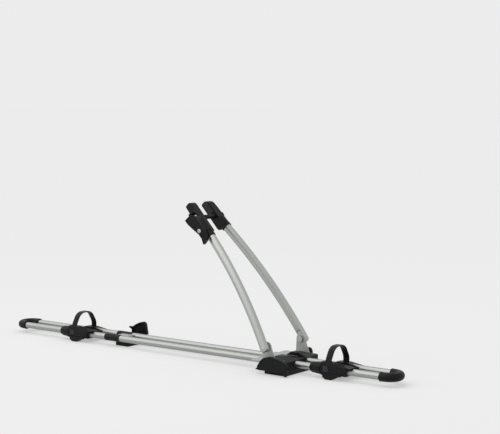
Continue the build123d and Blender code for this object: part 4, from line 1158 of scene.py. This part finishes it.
@dataclass
class FrameClamp:
    """Frame clamp at the arms' top: two jaws, the arm collar and the locking lever."""

    spindle: Triple = (63.4, 0.0, 428.9)
    lean: float = 47.8
    panel_rim: float = 2.4
    panel_depth: float = 0.8
    collar_gap: float = 5.6
    lever_face: float = -77.0
    lever_start: Pair = (19.0, -24.5)
    lever_length: float = 103.0
    lever_width: float = 38.0
    face_end: float = 11.5
    rim_reach: float = 7.0
    rim_proud: float = 1.2
    rim_sunk: float = 0.6
    rim_wall: float = 2.4
    bow: tuple[int, int] = (1, 6)
    rib_place: Triple = (-55.0, 1.5, -0.2)
    rib_size: Triple = (1.8, 1.8, 13.0)
    rib_pitch: float = 4.5
    rib_count: int = 4
    lock_place: Triple = (-44.0, -3.0, 0.2)
    bezel_radius: float = 7.4
    bezel_height: float = 1.2

    def at(self, along: float, across: float, y: float) -> Vector:
        """A point of the clamp.

        Args:
            along: how far up the arm from the spindle.
            across: how far square to the arm.
            y: its place across the car.

        Returns:
            The point in the frame's axes.
        """
        lean = math.radians(self.lean)
        up = Vector((-math.cos(lean), 0, math.sin(lean)))
        over = Vector((math.sin(lean), 0, math.cos(lean)))
        return Vector(self.spindle) + up * along + over * across + Vector((0, y, 0))

    def build(self, shop: Workshop) -> None:
        """Carve the jaws, lengthen the collar, rim the lever and ring the lock."""
        over = self.at(0.0, 1.0, 0.0) - self.at(0.0, 0.0, 0.0)
        up = self.at(1.0, 0.0, 0.0) - self.at(0.0, 0.0, 0.0)
        shop.moulding("jaw_near", Slot.CLAMP, "near_arm", 1.4, sharper_than=20.0)
        shop.moulding("jaw_far", Slot.CLAMP, "far_arm", 1.4,
                      panel=(over, self.panel_rim, self.panel_depth))
        collar = shop.bench.solid_copy(shop.nodes["arm_collar"], "arm_collar_moulding")
        shop.bench.stretch_end(collar, up, self.collar_gap)
        shop.bench.round_off(collar, 0.6)
        shop.hand_over(collar, Slot.CLAMP, "near_arm", "arm_collar")
        self.lever(shop, up)
        along, across, proud = self.lock_place
        bezel = shop.bench.band("lock_bezel", self.at(along, across, self.lever_face + proud),
                                self.bezel_radius, self.bezel_height, ALONG_Y, 0.4)
        shop.hand_over(bezel, Slot.CLAMP, "clamp_lever")
        shop.moulding("lock_cylinder", Slot.LOCK, "lock", 0.3)
        shop.moulding("clamp_cap_nut", Slot.CLAMP, "far_arm", 0.4)

    def lever(self, shop: Workshop, up: Vector) -> None:
        """Clamp lever: a rim round its blade and finger ribs above the lock.

        Args:
            shop: the workshop.
            up: direction up the arm.
        """
        top, heel = self.lever_start
        blade = [self.at(min(top - along * self.lever_length, self.face_end),
                         heel + over * self.lever_width, self.lever_face - self.rim_proud)
                 for along, over in BLADE_SHARES]
        rim = shop.bench.hoop("lever_rim", blade, blade[slice(*self.bow)], self.rim_reach,
                              (0.0, self.rim_proud + self.rim_sunk, 0.0), self.rim_wall)
        along, across, proud = self.rib_place
        rib = shop.bench.bar("finger_rib", self.at(along, across, self.lever_face + proud),
                             self.rib_size, (0.0, math.radians(self.lean), 0.0), 0.5)
        shop.bench.row(rib, up * -self.rib_pitch, self.rib_count)
        shop.moulding("clamp_lever", Slot.CLAMP, "clamp_lever", 1.2, rim, rib)


@dataclass
class Studio:
    """Camera, lamps, pale floor and backdrop."""

    lens_mm: float = 102.27
    camera_place: Triple = (2738.165, -3284.526, 831.202)
    yaw: float = 0.654
    pitch: float = -0.095
    roll: float = -0.002
    clip: Pair = (0.1, 200.0)
    floor_side: float = 60000.0
    backdrop: str = "#ececec"
    floor_colour: str = "#f1f1f1"
    world_strength: float = 0.62
    shadow_share: float = 0.5
    sun_strength: float = 1.2
    sun_spread: float = 75.0
    sun_from: Triple = (-0.45, -0.45, 1.0)
    # Each with its place, its width and depth, and its watts
    softboxes: tuple[tuple[Triple, float, float, float], ...] = (
        ((-200.0, 300.0, 2400.0), 2600.0, 500.0, 3.0),
        ((-1500.0, -2300.0, 1300.0), 500.0, 1500.0, 5.0),
    )
    softbox_aim: Triple = (100.0, 0.0, 100.0)

    def build(self) -> None:
        """Set up camera, world, lamps and floor."""
        self.camera()
        self.world()
        self.lamps()
        self.floor()
        bpy.context.scene.view_settings.view_transform = "Standard"

    def camera(self) -> None:
        """Place the camera at the photograph's viewing angle."""
        forward = Vector((-math.sin(self.yaw) * math.cos(self.pitch),
                          math.cos(self.yaw) * math.cos(self.pitch), math.sin(self.pitch)))
        right = forward.cross(Vector((0, 0, 1))).normalized()
        up = right.cross(forward)
        right, up = (math.cos(self.roll) * right + math.sin(self.roll) * up,
                     math.cos(self.roll) * up - math.sin(self.roll) * right)
        data = bpy.data.cameras.new("camera")
        data.lens = self.lens_mm
        data.clip_start, data.clip_end = self.clip
        eye = bpy.data.objects.new("camera", data)
        axes = Matrix((right, up, -forward)).transposed()
        eye.matrix_world = Matrix.Translation(Vector(self.camera_place) * MM) @ axes.to_4x4()
        bpy.context.scene.collection.objects.link(eye)
        bpy.context.scene.camera = eye

    def seen(self, tree: Tree) -> Socket:
        """Tell the rays that show a thing from those that only light it.

        Args:
            tree: the material's or world's tree.

        Returns:
            One for camera, glossy and transmission rays, else zero.
        """
        path = add_node(tree, "LightPath")
        first = add_node(tree, "Math", {"operation": "MAXIMUM"},
                         {0: path.outputs["Is Camera Ray"], 1: path.outputs["Is Glossy Ray"]})
        both = add_node(tree, "Math", {"operation": "MAXIMUM"},
                        {0: first.outputs[0], 1: path.outputs["Is Transmission Ray"]})
        return both.outputs[0]

    def world(self) -> None:
        """Even pale light, and the backdrop's colour where it is seen."""
        world = bpy.data.worlds.new("studio")
        world.use_nodes = True
        bpy.context.scene.world = world
        tree = world.node_tree
        tree.nodes.clear()
        light = add_node(tree, "Background",
                         {"Color": (1, 1, 1, 1), "Strength": self.world_strength})
        shown = add_node(tree, "Background", {"Color": linear(self.backdrop), "Strength": 1.0})
        mixed = add_node(tree, "MixShader", links={0: self.seen(tree), 1: light.outputs[0],
                                                   2: shown.outputs[0]})
        add_node(tree, "OutputWorld", links={"Surface": mixed.outputs[0]})

    def hang(self, light: bpy.types.Light, place: Vector, way: Vector) -> None:
        """Put a lamp in the scene.

        Args:
            light: the lamp's data, whose name it takes.
            place: where it hangs, in metres.
            way: the way it shines.
        """
        lamp = bpy.data.objects.new(light.name, light)
        lamp.location = place
        lamp.rotation_euler = way.to_track_quat("-Z", "Y").to_euler()
        bpy.context.scene.collection.objects.link(lamp)

    def lamps(self) -> None:
        """Soft boxes over and beside the carrier, turned to its middle, and a wide sun."""
        for number, (place, wide, deep, watts) in enumerate(self.softboxes):
            box = bpy.data.lights.new(f"softbox_{number}", "AREA")
            box.shape = "RECTANGLE"
            box.size, box.size_y = wide * MM, deep * MM
            box.energy = watts
            spot = Vector(place) * MM
            self.hang(box, spot, Vector(self.softbox_aim) * MM - spot)
        sun = bpy.data.lights.new("sky_panel", "SUN")
        sun.energy = self.sun_strength
        sun.angle = math.radians(self.sun_spread)
        self.hang(sun, Vector(), -Vector(self.sun_from))

    def floor(self) -> None:
        """A pale floor that keeps the carrier's shadow."""
        bpy.ops.object.select_all(action="DESELECT")
        bpy.ops.mesh.primitive_plane_add(size=self.floor_side * MM, location=(0, 0, 0))
        ground = bpy.context.object
        ground.name = "studio_floor"
        material = bpy.data.materials.new("studio_floor")
        material.use_nodes = True
        tree = material.node_tree
        tree.nodes.clear()
        matt = add_node(tree, "BsdfDiffuse", {"Color": linear(self.floor_colour)})
        glow = add_node(tree, "Emission", {"Color": linear(self.backdrop), "Strength": 1.0})
        share = add_node(tree, "Math", {"operation": "MULTIPLY", 1: 1.0 - self.shadow_share},
                         {0: self.seen(tree)})
        mixed = add_node(tree, "MixShader", links={0: share.outputs[0], 1: matt.outputs[0],
                                                   2: glow.outputs[0]})
        add_node(tree, "OutputMaterial", links={"Surface": mixed.outputs[0]})
        ground.data.materials.append(material)


def main() -> None:
    """Load the frame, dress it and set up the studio."""
    logging.basicConfig(level=logging.INFO, format="%(message)s")
    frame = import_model()
    paint = PaintShop()
    paint.dress_nodes(frame["nodes"])
    shop = Workshop(frame["nodes"], Bench(), paint)
    for assembly in (Rails(), WheelHolder("front", 461.9), WheelHolder("rear", -525.225),
                     FrontFoot(), RearFoot(), Arms(), FrameClamp()):
        log.info("building %s", type(assembly).__name__)
        assembly.build(shop)
    Studio().build()


if __name__ == "__main__":
    main()
